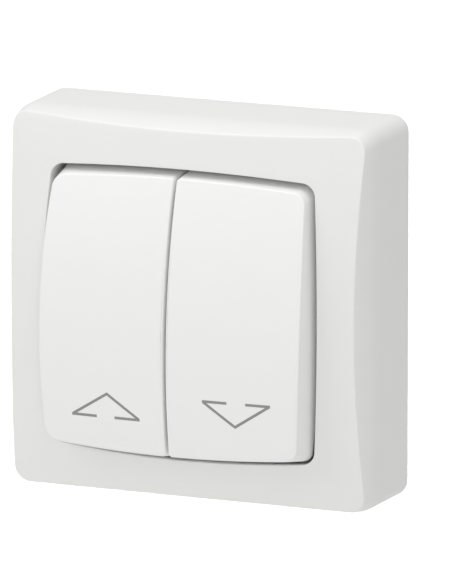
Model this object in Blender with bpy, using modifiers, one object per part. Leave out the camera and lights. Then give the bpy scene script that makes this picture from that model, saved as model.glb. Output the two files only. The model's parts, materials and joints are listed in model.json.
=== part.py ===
"""Roller shutter switch for surface mounting, with an up key and a down key.

The wall is the plane Y = 0 and the room lies towards -Y. +X is right and +Z is up.
Depth is given as a distance "out" from the wall. Lengths are in metres.
Keys and tumblers are modelled upright and tilted about their axle at the end.
"""
import cmath
import math

import bmesh
import bpy
from mathutils import Matrix, Vector

MM = 0.001

# Clearances
FIT = 0.3 * MM
RUNNING = 0.5 * MM
SINK = 0.4 * MM
CUT_PAST = 1.0 * MM

# Front frame: a square shell with a domed face
FRAME_HALF = 40.0 * MM
FRAME_DRAFT = 0.0101
FRAME_SHOULDER_OUT = 15.3 * MM
FRAME_SHOULDER_RADIUS = 29.9 * MM
FRAME_WALL = 2.0 * MM
FRAME_BACK_CORNER = 3.6 * MM
FRAME_FRONT_CORNER = 2.8 * MM
FRAME_EDGE_ROUND = 0.3 * MM
DOME_CREST_OUT = 28.75 * MM
DOME_RADIUS = 200.0 * MM

# Opening in the frame, with a collar behind its edge
FRAME_BORDER = 9.55 * MM
OPENING_BOW_RADIUS = 318.0 * MM
OPENING_CORNER = 3.0 * MM
OPENING_EDGE_ROUND = 0.25 * MM
COLLAR_WALL = 1.8 * MM

# Keys: a pair with one pillow outline and one crowned face, split down the middle
KEY_SIDE_GAP = 1.5 * MM
KEY_END_GAP = 1.685 * MM
KEY_SIDE_RADIUS = 347.0 * MM
KEY_END_RADIUS = 309.0 * MM
KEY_CORNER = 3.0 * MM
KEY_GROOVE_CORNER = 0.8 * MM
KEY_GROOVE = 0.7 * MM
KEY_GROOVE_SHIFT = -0.3 * MM
KEY_FLARE = 0.6 * MM
KEY_CREST_OUT = 33.29 * MM
KEY_CROWN_ACROSS = 264.5 * MM
KEY_CROWN_ALONG = 116.0 * MM
KEY_EDGE_ROUND = 0.45 * MM
KEY_WALL = 1.6 * MM
KEY_RIM_DROP = 0.5 * MM
KEY_EDGE_DROP = 5.1 * MM
KEY_TILT = math.radians(4.37)

# Axle of the keys and the rocking tumblers under them
AXLE_DROP = 4.0 * MM
AXLE_RADIUS = 0.9 * MM
TUMBLER_HUB_RADIUS = 2.3 * MM
TUMBLER_PLATE_DROP = 7.29 * MM
TUMBLER_PLATE = 1.6 * MM
TUMBLER_HALF_HEIGHT = 11.0 * MM
TUMBLER_WEB_HALF = 1.8 * MM
STEM_RADIUS = 2.4 * MM
STEM_END_OUT = 12.2 * MM
STEM_BORE_DROP = 2.5 * MM
NOSE_HALF_WIDTH = 0.6 * MM
NOSE_REACH = 2.2 * MM
CLIP_HALF_WIDTH = 3.0 * MM
CLIP_THICKNESS = 1.4 * MM
CLIP_HOOK = 0.8 * MM
PAD_HEIGHT_AT = 8.0 * MM
PAD_HALF = 0.6 * MM

# Back box
BOX_PLAY = 0.6 * MM
BOX_WALL = 1.8 * MM
BOX_FLOOR = 2.2 * MM
BOX_DEPTH = 14.0 * MM
BOX_CORNER = 2.2 * MM
FIXING_INSET = 7.4 * MM
FIXING_HOLE_RADIUS = 2.1 * MM
FIXING_SLOT_LENGTH = 9.0 * MM
FIXING_PAD = 0.8 * MM
FIXING_PAD_RIM = 1.6 * MM
FIXING_ACCESS_RADIUS = 4.2 * MM
CABLE_ENTRY_WIDTH = 24.0 * MM
CABLE_ENTRY_HEIGHT = 10.0 * MM
CABLE_ENTRY_INSET = 9.4 * MM
KNOCKOUT_WIDTH = 16.0 * MM
KNOCKOUT_SKIN = 0.7 * MM
KNOCKOUT_FOOT_OUT = 4.5 * MM
SNAP_X = 14.0 * MM
SNAP_LENGTH = 8.0 * MM
SNAP_HEIGHT = 2.0 * MM
SNAP_OUT = 9.0 * MM
SNAP_BITE = 0.6 * MM

# Switch mechanism
HOUSING_SIDE_SPACE = 12.6 * MM
SCREW_COLUMN = 6.85 * MM
HOUSING_HALF_HEIGHT = 20.5 * MM
HOUSING_FRONT_OUT = 14.5 * MM
HOUSING_EDGE = 0.8 * MM
POCKET_FLOOR_OUT = 4.7 * MM
REST_LEDGE_OUT = 6.8 * MM
REST_LEDGE_Z = -7.0 * MM
COVER_MARGIN = 0.7 * MM
COVER_CORNER = 3.0 * MM
COVER_THICKNESS = 2.0 * MM
EAR_THICKNESS = 1.6 * MM
EAR_HALF = 2.6 * MM

# Contacts, terminals and screws
LEVER_OUT = 9.0 * MM
LEVER_HALF_LENGTH = 10.0 * MM
LEVER_HALF_WIDTH = 2.75 * MM
LEVER_THICKNESS = 0.9 * MM
LEVER_TILT = math.radians(8.0)
TRUNNION_RADIUS = 0.7 * MM
TRUNNION_LENGTH = 1.5 * MM
RIVET_RADIUS = 1.2 * MM
RIVET_HEIGHT = 0.3 * MM
FIXED_RIVET_HEIGHT = 0.7 * MM
CONTACT_Z = 9.2 * MM
STRIP_THICKNESS = 0.8 * MM
STRIP_HALF_WIDTH = 1.5 * MM
CRADLE_THICKNESS = 0.9 * MM
PLUNGER_RADIUS = 1.1 * MM
PLUNGER_GAP = 0.2 * MM
PLUNGER_LENGTH = 6.6 * MM
SPRING_WIRE = 0.18 * MM
SPRING_TURNS = 4
TERMINAL_HALF_WIDTH = 4.1 * MM
TERMINAL_LENGTH = 6.2 * MM
TERMINAL_HEIGHT = 6.2 * MM
WIRE_HOLE_RADIUS = 1.5 * MM
CLAMP_SCREW_RADIUS = 1.2 * MM
CLAMP_SCREW_HEAD = 2.1 * MM
CLAMP_SCREW_HEAD_HEIGHT = 1.2 * MM
SCREW_SLOT = 0.6 * MM
MECHANISM_SCREW_INSET = 3.6 * MM
MECHANISM_SCREW_Z = 9.5 * MM
MECHANISM_SCREW_RADIUS = 1.1 * MM
MECHANISM_SCREW_HEAD = 2.3 * MM
MECHANISM_SCREW_HEAD_HEIGHT = 1.6 * MM
BOSS_RADIUS = 2.3 * MM
BOSS_TOP_OUT = 9.0 * MM

# Interlock slider between the two poles
SLIDER_END = 3.0 * MM
SLIDER_WIDTH = 3.4 * MM
SLIDER_THICKNESS = 3.0 * MM
SLIDER_TRAVEL = 1.0 * MM
SLIDER_LOW_Z = 3.9 * MM

# Facets
SIDE_STEPS = 10
CORNER_STEPS = 5
ROUND_SIDES = 20
WALL_BANDS = 3
FACE_BANDS = 3
KEY_FACE_BANDS = 4
TIP_STEPS = 5
SPRING_STEPS = 12
EDGE_PASSES = 12
STRAIGHT = 1000.0
LEAST_CORNER = 0.25 * MM

# Sizes that follow from the ones above
OPENING_REACH = FRAME_HALF - FRAME_BORDER
TUMBLER_PLATE_OUT = KEY_CREST_OUT - TUMBLER_PLATE_DROP
AXLE_OUT = TUMBLER_PLATE_OUT - AXLE_DROP
STEM_BORE_END_OUT = AXLE_OUT - STEM_BORE_DROP
KEY_RIM_OUT = AXLE_OUT - KEY_RIM_DROP
KEY_EDGE_OUT = KEY_CREST_OUT - KEY_EDGE_DROP
BOX_HALF = FRAME_HALF - FRAME_WALL - BOX_PLAY
BOX_INNER_HALF = BOX_HALF - BOX_WALL
FIXING_X = BOX_HALF - FIXING_INSET
CABLE_ENTRY_Z = -(BOX_HALF - CABLE_ENTRY_INSET)
COVER_HALF = OPENING_REACH + COLLAR_WALL + COVER_MARGIN
CRADLE_X = LEVER_HALF_WIDTH + RUNNING + CRADLE_THICKNESS / 2
LEVER_POCKET_HALF = CRADLE_X + CRADLE_THICKNESS / 2 + RUNNING
HOUSING_HALF_WIDTH = BOX_INNER_HALF - HOUSING_SIDE_SPACE
POLE_X = HOUSING_HALF_WIDTH - SCREW_COLUMN - LEVER_POCKET_HALF
SLIDER_HALF_LENGTH = POLE_X + SLIDER_END
MECHANISM_SCREW_X = HOUSING_HALF_WIDTH - MECHANISM_SCREW_INSET
TERMINAL_Z = HOUSING_HALF_HEIGHT - TERMINAL_LENGTH / 2 - 2 * FIT
HOUSING_BACK_OUT = BOX_FLOOR + FIT
COVER_BACK_OUT = HOUSING_FRONT_OUT + FIT
COVER_FRONT_OUT = COVER_BACK_OUT + COVER_THICKNESS
COLLAR_END_OUT = COVER_FRONT_OUT + FIT
ROUND_INSET = 1 - math.sqrt(0.5)
EAR_X = HOUSING_HALF_WIDTH - EAR_THICKNESS / 2
STRIP_BACK_OUT = POCKET_FLOOR_OUT + FIT
STRIP_FRONT_OUT = STRIP_BACK_OUT + STRIP_THICKNESS
TERMINAL_BACK_OUT = STRIP_FRONT_OUT + FIT
TERMINAL_FRONT_OUT = TERMINAL_BACK_OUT + TERMINAL_HEIGHT
PLUNGER_TIP_OUT = LEVER_OUT + LEVER_THICKNESS / 2 + PLUNGER_GAP
STEM_BORE_RADIUS = PLUNGER_RADIUS + FIT
TUMBLER_INNER_X = EAR_THICKNESS / 2 + RUNNING
TUMBLER_OUTER_X = EAR_X - EAR_THICKNESS / 2 - RUNNING
CLIP_Z = TUMBLER_HALF_HEIGHT + FIT + CLIP_THICKNESS / 2
SLIDER_FRONT_OUT = COVER_BACK_OUT - FIT
SLIDER_BACK_OUT = SLIDER_FRONT_OUT - SLIDER_THICKNESS

WHITE = (0.87, 0.87, 0.86)
WARM_WHITE = (0.86, 0.86, 0.85)
GREY_NYLON = (0.55, 0.56, 0.57)
LIGHT_NYLON = (0.74, 0.74, 0.72)
BRASS = (0.72, 0.55, 0.28)
STEEL = (0.62, 0.62, 0.63)

parts = bpy.data.collections.new("roller_shutter_switch")
tools = bpy.data.collections.new("construction")


def clear_scene():
    """Start from an empty scene and link the two collections."""
    for thing in list(bpy.data.objects):
        bpy.data.objects.remove(thing, do_unlink=True)
    bpy.context.scene.collection.children.link(parts)
    bpy.context.scene.collection.children.link(tools)
    tools.hide_render = True


def point(x, out, z):
    """A place in space from its distance out of the wall."""
    return Vector((x, -out, z))


def finish(name, colour, roughness, metallic=0.0):
    """The material of one piece."""
    material = bpy.data.materials.new(name + "_finish")
    material.use_nodes = True
    shader = material.node_tree.nodes["Principled BSDF"]
    shader.inputs["Base Color"].default_value = (*colour, 1.0)
    shader.inputs["Roughness"].default_value = roughness
    shader.inputs["Metallic"].default_value = metallic
    return material


def add_object(name, bm, material=None):
    """Turn a bmesh into an object: a part if it has a material, a tool if not."""
    bmesh.ops.recalc_face_normals(bm, faces=bm.faces)
    mesh = bpy.data.meshes.new(name)
    bm.to_mesh(mesh)
    bm.free()
    thing = bpy.data.objects.new(name, mesh)
    if material is None:
        tools.objects.link(thing)
        thing.hide_render = True
        thing.display_type = "WIRE"
    else:
        parts.objects.link(thing)
        mesh.materials.append(material)
    return thing


def box(name, x, out, z, material=None):
    """A block between two values along each direction."""
    bm = bmesh.new()
    bmesh.ops.create_cube(bm, size=1.0)
    size = (x[1] - x[0], out[1] - out[0], z[1] - z[0])
    centre = point((x[0] + x[1]) / 2, (out[0] + out[1]) / 2, (z[0] + z[1]) / 2)
    bmesh.ops.transform(bm, matrix=Matrix.Translation(centre) @ Matrix.Diagonal((*size, 1.0)), verts=bm.verts)
    return add_object(name, bm, material)


def rod(name, start, end, radius, material=None):
    """A round bar from one point to another."""
    bm = bmesh.new()
    line = end - start
    bmesh.ops.create_cone(
        bm, cap_ends=True, segments=ROUND_SIDES, radius1=radius, radius2=radius, depth=line.length
    )
    turn = line.to_track_quat("Z", "Y").to_matrix().to_4x4()
    bmesh.ops.transform(bm, matrix=Matrix.Translation((start + end) / 2) @ turn, verts=bm.verts)
    return add_object(name, bm, material)


def combine(target, tool, operation="DIFFERENCE"):
    """Cut a tool out of a target, or join it on, with the exact solver."""
    boolean = target.modifiers.new(tool.name, "BOOLEAN")
    boolean.operation = operation
    boolean.solver = "EXACT"
    boolean.object = tool


def cut(target, *cutters):
    for cutter in cutters:
        combine(target, cutter)


def join(target, *pieces):
    for piece in pieces:
        combine(target, piece, "UNION")


def soften(target, width, segments=1, degrees=50):
    """Round a piece's sharp edges."""
    bevel = target.modifiers.new("rounded edges", "BEVEL")
    bevel.width = width
    bevel.segments = segments
    bevel.limit_method = "ANGLE"
    bevel.angle_limit = math.radians(degrees)


def smooth(target, degrees=32):
    """Shade a round piece smooth and keep its real edges sharp."""
    target.data.shade_smooth()
    target.data.set_sharp_from_angle(angle=math.radians(degrees))


def circles_meet(centre_a, radius_a, centre_b, radius_b, towards):
    """Where two circles in the plane of complex numbers meet, on the side named."""
    line = centre_b - centre_a
    distance = abs(line)
    along = (radius_a**2 - radius_b**2 + distance**2) / (2 * distance)
    across = math.sqrt(radius_a**2 - along**2)
    foot = centre_a + line / distance * along
    step = line / distance * 1j * across
    return max((foot + step, foot - step), key=lambda p: (p * towards.conjugate()).real)


def outline(sides, corners):
    """Points of a closed four-sided outline, as complex numbers x + z i, anticlockwise.

    Each side is an arc given as (reach of its middle, radius), in the order right, top, left,
    bottom. Each corner is a fillet, in the order top right, top left, bottom left, bottom right.
    """
    facing = (1, 1j, -1, -1j)
    centres = [way * (reach - radius) for way, (reach, radius) in zip(facing, sides)]
    fillets = []
    for i, corner in enumerate(corners):
        j = (i + 1) % 4
        fillets.append(
            circles_meet(
                centres[i], sides[i][1] - corner, centres[j], sides[j][1] - corner, facing[i] + facing[j]
            )
        )
    points = []
    for i, way in enumerate(facing):
        here, after = centres[i], centres[(i + 1) % 4]
        first = cmath.phase((fillets[i - 1] - here) / way)
        last = cmath.phase((fillets[i] - here) / way)
        for k in range(SIDE_STEPS):
            angle = first + (last - first) * k / SIDE_STEPS
            points.append(here + sides[i][1] * way * cmath.exp(1j * angle))
        turned = cmath.phase((fillets[i] - after) / way)
        for k in range(CORNER_STEPS):
            angle = last + (turned - last) * k / CORNER_STEPS
            points.append(fillets[i] + corners[i] * way * cmath.exp(1j * angle))
    return points


def square(half, corner):
    """A square outline with rounded corners."""
    return outline([(half, STRAIGHT)] * 4, [corner] * 4)


def ring(points, height):
    """A ring in space: height is one distance out, or a function of x and z."""
    return [point(p.real, height(p.real, p.imag) if callable(height) else height, p.imag) for p in points]


def loft(name, rings, material=None, closed=False, start=None, end=None):
    """Skin a row of rings. The row closes on itself, or each end is filled, round a centre if given."""
    bm = bmesh.new()
    rows = [[bm.verts.new(p) for p in one] for one in rings]
    count = len(rings[0])
    pairs = list(zip(rows, rows[1:] + rows[:1]))
    for near, far in pairs if closed else pairs[:-1]:
        for k in range(count):
            m = (k + 1) % count
            bm.faces.new((near[k], near[m], far[m], far[k]))
    for row, centre in () if closed else ((rows[0], start), (rows[-1], end)):
        cap = bm.faces.new(row)
        if centre is not None:
            middle = bmesh.ops.poke(bm, faces=[cap])["verts"][0]
            middle.co = centre
    return add_object(name, bm, material)


def frame_half(out):
    """Half the frame's width at a distance out from the wall."""
    rise = max(0.0, out - FRAME_SHOULDER_OUT)
    return FRAME_HALF - FRAME_DRAFT * out - rise**2 / (2 * FRAME_SHOULDER_RADIUS)


def dome_out(x, z):
    """The frame's domed face."""
    return DOME_CREST_OUT - (x * x + z * z) / (2 * DOME_RADIUS)


def frame_wall_points(outs, inset):
    """The frame's plan outline, each point at its own distance out. The corner tightens outwards."""
    slim_half = FRAME_HALF - FRAME_WALL
    full = square(FRAME_HALF, FRAME_BACK_CORNER)
    slim = square(slim_half, FRAME_FRONT_CORNER)
    points = []
    for wide, narrow, out in zip(full, slim, outs):
        share = (frame_half(out) - inset - slim_half) / (FRAME_HALF - slim_half)
        points.append(narrow + (wide - narrow) * share)
    return points


def frame_edge_outs(inset, drop):
    """How far out the wall meets the dome at each point of the outline."""
    outs = [FRAME_SHOULDER_OUT] * len(square(FRAME_HALF, FRAME_BACK_CORNER))
    for _ in range(EDGE_PASSES):
        outs = [dome_out(p.real, p.imag) - drop for p in frame_wall_points(outs, inset)]
    return outs


def frame_wall_ring(outs, inset=0.0):
    points = frame_wall_points(outs, inset)
    return [point(p.real, out, p.imag) for p, out in zip(points, outs)]


def opening_points(inset):
    side = (OPENING_REACH - inset, OPENING_BOW_RADIUS - inset)
    return outline([side] * 4, [OPENING_CORNER - inset] * 4)


def make_front_frame():
    """The visible frame: outer wall, domed face, collar round the keys, all one shell."""
    edge = frame_edge_outs(0.0, 0.0)
    inner_edge = frame_edge_outs(FRAME_WALL, FRAME_WALL)
    shoulder = [FRAME_SHOULDER_OUT] * len(edge)
    back = [0.0] * len(edge)

    def between(share, top):
        return [FRAME_SHOULDER_OUT + share * (out - FRAME_SHOULDER_OUT) for out in top]

    bands = [between(k / WALL_BANDS, edge) for k in range(1, WALL_BANDS)]

    outer = frame_wall_points(edge, 0.0)
    mouth = opening_points(0.0)
    inward = [(m - p) / abs(m - p) for p, m in zip(outer, mouth)]
    face_start = [p + way * FRAME_EDGE_ROUND for p, way in zip(outer, inward)]
    face_end = [m - way * OPENING_EDGE_ROUND for m, way in zip(mouth, inward)]

    def face(share):
        return ring([a + (b - a) * share for a, b in zip(face_start, face_end)], dome_out)

    below = frame_wall_ring([out - FRAME_EDGE_ROUND for out in edge])
    step = FRAME_EDGE_ROUND * ROUND_INSET
    corner = frame_wall_ring([out - step for out in edge])
    turn = [point(v.x + way.real * step, -v.y, v.z + way.imag * step) for v, way in zip(corner, inward)]

    def under_dome(x, z):
        return dome_out(x, z) - FRAME_WALL

    rings = [
        frame_wall_ring(back),
        frame_wall_ring(shoulder),
        *[frame_wall_ring(band) for band in bands],
        below,
        turn,
        *[face(k / FACE_BANDS) for k in range(FACE_BANDS + 1)],
        ring(mouth, lambda x, z: dome_out(x, z) - OPENING_EDGE_ROUND),
        ring(mouth, COLLAR_END_OUT),
        ring(opening_points(-COLLAR_WALL), COLLAR_END_OUT),
        ring(opening_points(-COLLAR_WALL), under_dome),
        frame_wall_ring(inner_edge, FRAME_WALL),
        frame_wall_ring(between(0.5, inner_edge), FRAME_WALL),
        frame_wall_ring(shoulder, FRAME_WALL),
        frame_wall_ring(back, FRAME_WALL),
    ]
    frame = loft("front_frame", rings, finish("front_frame", WARM_WHITE, 0.32), closed=True)
    smooth(frame)
    inner_face = FRAME_HALF - FRAME_WALL - FRAME_DRAFT * SNAP_OUT
    for number, (x, side) in enumerate(((x, side) for x in (-SNAP_X, SNAP_X) for side in (-1, 1))):
        z = sorted((side * (inner_face + SINK), side * (BOX_HALF - SNAP_BITE)))
        rib = box(
            f"snap_rib_{number + 1}",
            (x - SNAP_LENGTH / 2, x + SNAP_LENGTH / 2),
            (SNAP_OUT - SNAP_HEIGHT / 2, SNAP_OUT + SNAP_HEIGHT / 2),
            z,
        )
        join(frame, rib)


def obround(name, x, z, radius, length, outs):
    """A tool for a slot that runs up and down and has round ends."""
    reach = length / 2 - radius
    half_turn = ROUND_SIDES // 2
    shape = []
    for side, first in ((-1, math.pi), (1, 0.0)):
        for k in range(half_turn + 1):
            angle = first + math.pi * k / half_turn
            shape.append(complex(x, z + side * reach) + radius * cmath.exp(1j * angle))
    return loft(name, [ring(shape, out) for out in outs])


def make_back_box():
    """The tray that is screwed to the wall and carries the mechanism and the frame."""
    inner_corner = max(BOX_CORNER - BOX_WALL, LEAST_CORNER)
    outer = square(BOX_HALF, BOX_CORNER)
    inner = square(BOX_INNER_HALF, inner_corner)
    rings = [ring(outer, 0.0), ring(outer, BOX_DEPTH), ring(inner, BOX_DEPTH), ring(inner, BOX_FLOOR)]
    tray = loft("back_box", rings, finish("back_box", LIGHT_NYLON, 0.5))
    through = (-CUT_PAST, BOX_FLOOR + FIXING_PAD + CUT_PAST)
    for name, side in (("left", -1), ("right", 1)):
        x = side * FIXING_X
        pad = obround(
            f"fixing_pad_{name}",
            x,
            0.0,
            FIXING_HOLE_RADIUS + FIXING_PAD_RIM,
            FIXING_SLOT_LENGTH + 2 * FIXING_PAD_RIM,
            (BOX_FLOOR - SINK, BOX_FLOOR + FIXING_PAD),
        )
        join(tray, pad)
        slot = obround(f"fixing_slot_{name}", x, 0.0, FIXING_HOLE_RADIUS, FIXING_SLOT_LENGTH, through)
        cut(tray, slot)
    for name, side in (("left", -1), ("right", 1)):
        x, z = side * MECHANISM_SCREW_X, -side * MECHANISM_SCREW_Z
        base, top = point(x, BOX_FLOOR - SINK, z), point(x, BOSS_TOP_OUT, z)
        join(tray, rod(f"screw_boss_{name}", base, top, BOSS_RADIUS))
        foot = point(x, BOX_FLOOR + FIT, z)
        cut(tray, rod(f"pilot_hole_{name}", foot, top + point(0, CUT_PAST, 0), MECHANISM_SCREW_RADIUS + FIT))
    entry = box(
        "cable_entry",
        (-CABLE_ENTRY_WIDTH / 2, CABLE_ENTRY_WIDTH / 2),
        through,
        (CABLE_ENTRY_Z - CABLE_ENTRY_HEIGHT / 2, CABLE_ENTRY_Z + CABLE_ENTRY_HEIGHT / 2),
    )
    cut(tray, entry)
    knockout = box(
        "knockout_recess",
        (-KNOCKOUT_WIDTH / 2, KNOCKOUT_WIDTH / 2),
        (KNOCKOUT_FOOT_OUT, BOX_DEPTH - BOX_WALL),
        (-BOX_HALF + KNOCKOUT_SKIN, -BOX_INNER_HALF + CUT_PAST),
    )
    cut(tray, knockout)
    number = 0
    for x in (-SNAP_X, SNAP_X):
        for side in (-1, 1):
            number += 1
            z = sorted((side * (BOX_INNER_HALF - CUT_PAST), side * (BOX_HALF + CUT_PAST)))
            half_length = SNAP_LENGTH / 2 + FIT
            half_height = SNAP_HEIGHT / 2 + FIT
            window = box(
                f"snap_window_{number}",
                (x - half_length, x + half_length),
                (SNAP_OUT - half_height, SNAP_OUT + half_height),
                z,
            )
            cut(tray, window)


def make_mechanism_housing():
    """The moulded base that holds contacts and terminals in pockets open to the front."""
    housing = box(
        "mechanism_housing",
        (-HOUSING_HALF_WIDTH, HOUSING_HALF_WIDTH),
        (HOUSING_BACK_OUT, HOUSING_FRONT_OUT),
        (-HOUSING_HALF_HEIGHT, HOUSING_HALF_HEIGHT),
        finish("mechanism_housing", GREY_NYLON, 0.5),
    )
    soften(housing, HOUSING_EDGE)
    mouth = HOUSING_FRONT_OUT + CUT_PAST
    lever_end = LEVER_HALF_LENGTH + 2 * RUNNING + RIVET_HEIGHT
    terminal_half = TERMINAL_HALF_WIDTH + FIT
    terminal_inner = TERMINAL_Z - TERMINAL_LENGTH / 2 - FIT
    past_side = HOUSING_HALF_HEIGHT + CUT_PAST
    channel = STRIP_HALF_WIDTH + RUNNING
    for name, side in (("up", -1), ("down", 1)):
        x = side * POLE_X
        cut(
            housing,
            box(f"{name}_lever_pocket", (x - LEVER_POCKET_HALF, x + LEVER_POCKET_HALF),
                (POCKET_FLOOR_OUT, mouth), (REST_LEDGE_Z, lever_end)),
            box(f"{name}_rest_pocket", (x - LEVER_POCKET_HALF, x + LEVER_POCKET_HALF),
                (REST_LEDGE_OUT, mouth), (-lever_end, REST_LEDGE_Z + SINK)),
            box(f"{name}_terminal_pocket", (x - terminal_half, x + terminal_half),
                (POCKET_FLOOR_OUT, mouth), (terminal_inner, past_side)),
            box(f"{name}_strip_channel", (x - channel, x + channel),
                (POCKET_FLOOR_OUT, mouth), (lever_end - SINK, terminal_inner + SINK)),
        )
    cut(
        housing,
        box("cross_channel", (-POLE_X, POLE_X), (POCKET_FLOOR_OUT, mouth), (-channel, channel)),
        box("tail_channel", (-channel, channel), (POCKET_FLOOR_OUT, mouth), (-terminal_inner - SINK, 0.0)),
        box("common_terminal_pocket", (-terminal_half, terminal_half),
            (POCKET_FLOOR_OUT, mouth), (-past_side, -terminal_inner)),
        box("slider_channel", (-POLE_X, POLE_X), (SLIDER_BACK_OUT - FIT, mouth),
            (SLIDER_LOW_Z - FIT, SLIDER_LOW_Z + SLIDER_WIDTH + FIT)),
    )
    for name, side in (("left", -1), ("right", 1)):
        x, z = side * MECHANISM_SCREW_X, -side * MECHANISM_SCREW_Z
        back, front = point(x, HOUSING_BACK_OUT - CUT_PAST, z), point(x, mouth, z)
        cut(
            housing,
            rod(f"boss_hole_{name}", back, point(x, BOSS_TOP_OUT + FIT, z), BOSS_RADIUS + FIT),
            rod(f"screw_hole_{name}", back, front, MECHANISM_SCREW_RADIUS + FIT),
        )


def make_mechanism_cover():
    """The support plate that closes the tray and carries the axle in three ears."""
    shape = square(COVER_HALF, COVER_CORNER)
    cover = loft("mechanism_cover", [ring(shape, COVER_BACK_OUT), ring(shape, COVER_FRONT_OUT)],
                 finish("mechanism_cover", LIGHT_NYLON, 0.45))
    through = (COVER_BACK_OUT - CUT_PAST, COVER_FRONT_OUT + CUT_PAST)
    for name, side in (("left", -1), ("right", 1)):
        length = FIXING_SLOT_LENGTH + 2 * (FIXING_ACCESS_RADIUS - FIXING_HOLE_RADIUS)
        cut(cover, obround(f"fixing_access_{name}", side * FIXING_X, 0.0, FIXING_ACCESS_RADIUS,
                           length, through))
    for name, x in (("left", -EAR_X), ("middle", 0.0), ("right", EAR_X)):
        sides = (x - EAR_THICKNESS / 2, x + EAR_THICKNESS / 2)
        ear = box(f"ear_{name}", sides, (COVER_FRONT_OUT - SINK, AXLE_OUT), (-EAR_HALF, EAR_HALF))
        head = rod(f"ear_head_{name}", point(sides[0], AXLE_OUT, 0), point(sides[1], AXLE_OUT, 0), EAR_HALF)
        join(ear, head)
        join(cover, ear)
    end = EAR_X + EAR_THICKNESS
    cut(cover, rod("axle_bore", point(-end, AXLE_OUT, 0), point(end, AXLE_OUT, 0), AXLE_RADIUS + FIT))
    window_half = STEM_RADIUS + RUNNING
    swing = (AXLE_OUT - COVER_BACK_OUT) * math.sin(KEY_TILT)
    nose_top = STEM_RADIUS + NOSE_REACH + swing + RUNNING
    for name, side in (("up", -1), ("down", 1)):
        x = side * POLE_X
        window = box(f"{name}_stem_window", (x - window_half, x + window_half), through,
                     (-STEM_RADIUS - swing - RUNNING, nose_top))
        access = rod(f"{name}_screw_access", point(x, through[0], TERMINAL_Z),
                     point(x, through[1], TERMINAL_Z), CLAMP_SCREW_HEAD + FIT)
        cut(cover, window, access)
    common = (point(0, through[0], -TERMINAL_Z), point(0, through[1], -TERMINAL_Z))
    cut(cover, rod("common_screw_access", *common, CLAMP_SCREW_HEAD + FIT))
    for name, side in (("left", -1), ("right", 1)):
        x, z = side * MECHANISM_SCREW_X, -side * MECHANISM_SCREW_Z
        cut(cover, rod(f"cover_hole_{name}", point(x, through[0], z), point(x, through[1], z),
                       MECHANISM_SCREW_RADIUS + FIT))


def make_screw(name, x, z, shaft_radius, head_radius, head_height, tip_out, seat_out):
    """A slotted cheese-head screw that points at the wall."""
    shaft = (point(x, tip_out, z), point(x, seat_out + SINK, z))
    screw = rod(name, *shaft, shaft_radius, finish(name, STEEL, 0.3, 1.0))
    top = seat_out + head_height
    join(screw, rod(f"{name}_head", point(x, seat_out, z), point(x, top, z), head_radius))
    reach = head_radius + CUT_PAST
    cut(screw, box(f"{name}_slot", (x - reach, x + reach), (top - head_height / 2, top + CUT_PAST),
                   (z - SCREW_SLOT / 2, z + SCREW_SLOT / 2)))
    smooth(screw)


def make_mechanism_screws():
    for name, side in (("left", -1), ("right", 1)):
        make_screw(f"mechanism_screw_{name}", side * MECHANISM_SCREW_X, -side * MECHANISM_SCREW_Z,
                   MECHANISM_SCREW_RADIUS, MECHANISM_SCREW_HEAD, MECHANISM_SCREW_HEAD_HEIGHT,
                   BOX_FLOOR + 2 * FIT, COVER_FRONT_OUT + FIT)


def make_terminal(name, x, side):
    """A brass clamp block with a wire hole and its screw."""
    z = side * TERMINAL_Z
    half = TERMINAL_LENGTH / 2
    block = box(f"{name}_terminal", (x - TERMINAL_HALF_WIDTH, x + TERMINAL_HALF_WIDTH),
                (TERMINAL_BACK_OUT, TERMINAL_FRONT_OUT), (z - half, z + half),
                finish(f"{name}_terminal", BRASS, 0.35, 1.0))
    middle = (TERMINAL_BACK_OUT + TERMINAL_FRONT_OUT) / 2
    reach = half + CUT_PAST
    cut(
        block,
        rod(f"{name}_wire_hole", point(x, middle, z - reach), point(x, middle, z + reach), WIRE_HOLE_RADIUS),
        rod(f"{name}_clamp_hole", point(x, middle, z), point(x, TERMINAL_FRONT_OUT + CUT_PAST, z),
            CLAMP_SCREW_RADIUS + FIT),
    )
    make_screw(f"{name}_terminal_screw", x, z, CLAMP_SCREW_RADIUS, CLAMP_SCREW_HEAD, CLAMP_SCREW_HEAD_HEIGHT,
               middle + WIRE_HOLE_RADIUS - FIT, TERMINAL_FRONT_OUT + FIT)


def make_fixed_contact(name, x):
    """A strip from under the line terminal to a rivet beneath the lever's end."""
    ends = (CONTACT_Z - RIVET_RADIUS, TERMINAL_Z + TERMINAL_LENGTH / 2)
    contact = box(f"{name}_fixed_contact", (x - STRIP_HALF_WIDTH, x + STRIP_HALF_WIDTH),
                  (STRIP_BACK_OUT, STRIP_FRONT_OUT), ends, finish(f"{name}_fixed_contact", BRASS, 0.35, 1.0))
    join(contact, rod(f"{name}_fixed_rivet", point(x, STRIP_FRONT_OUT - SINK, CONTACT_Z),
                      point(x, STRIP_FRONT_OUT + FIXED_RIVET_HEIGHT, CONTACT_Z), RIVET_RADIUS))


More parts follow.
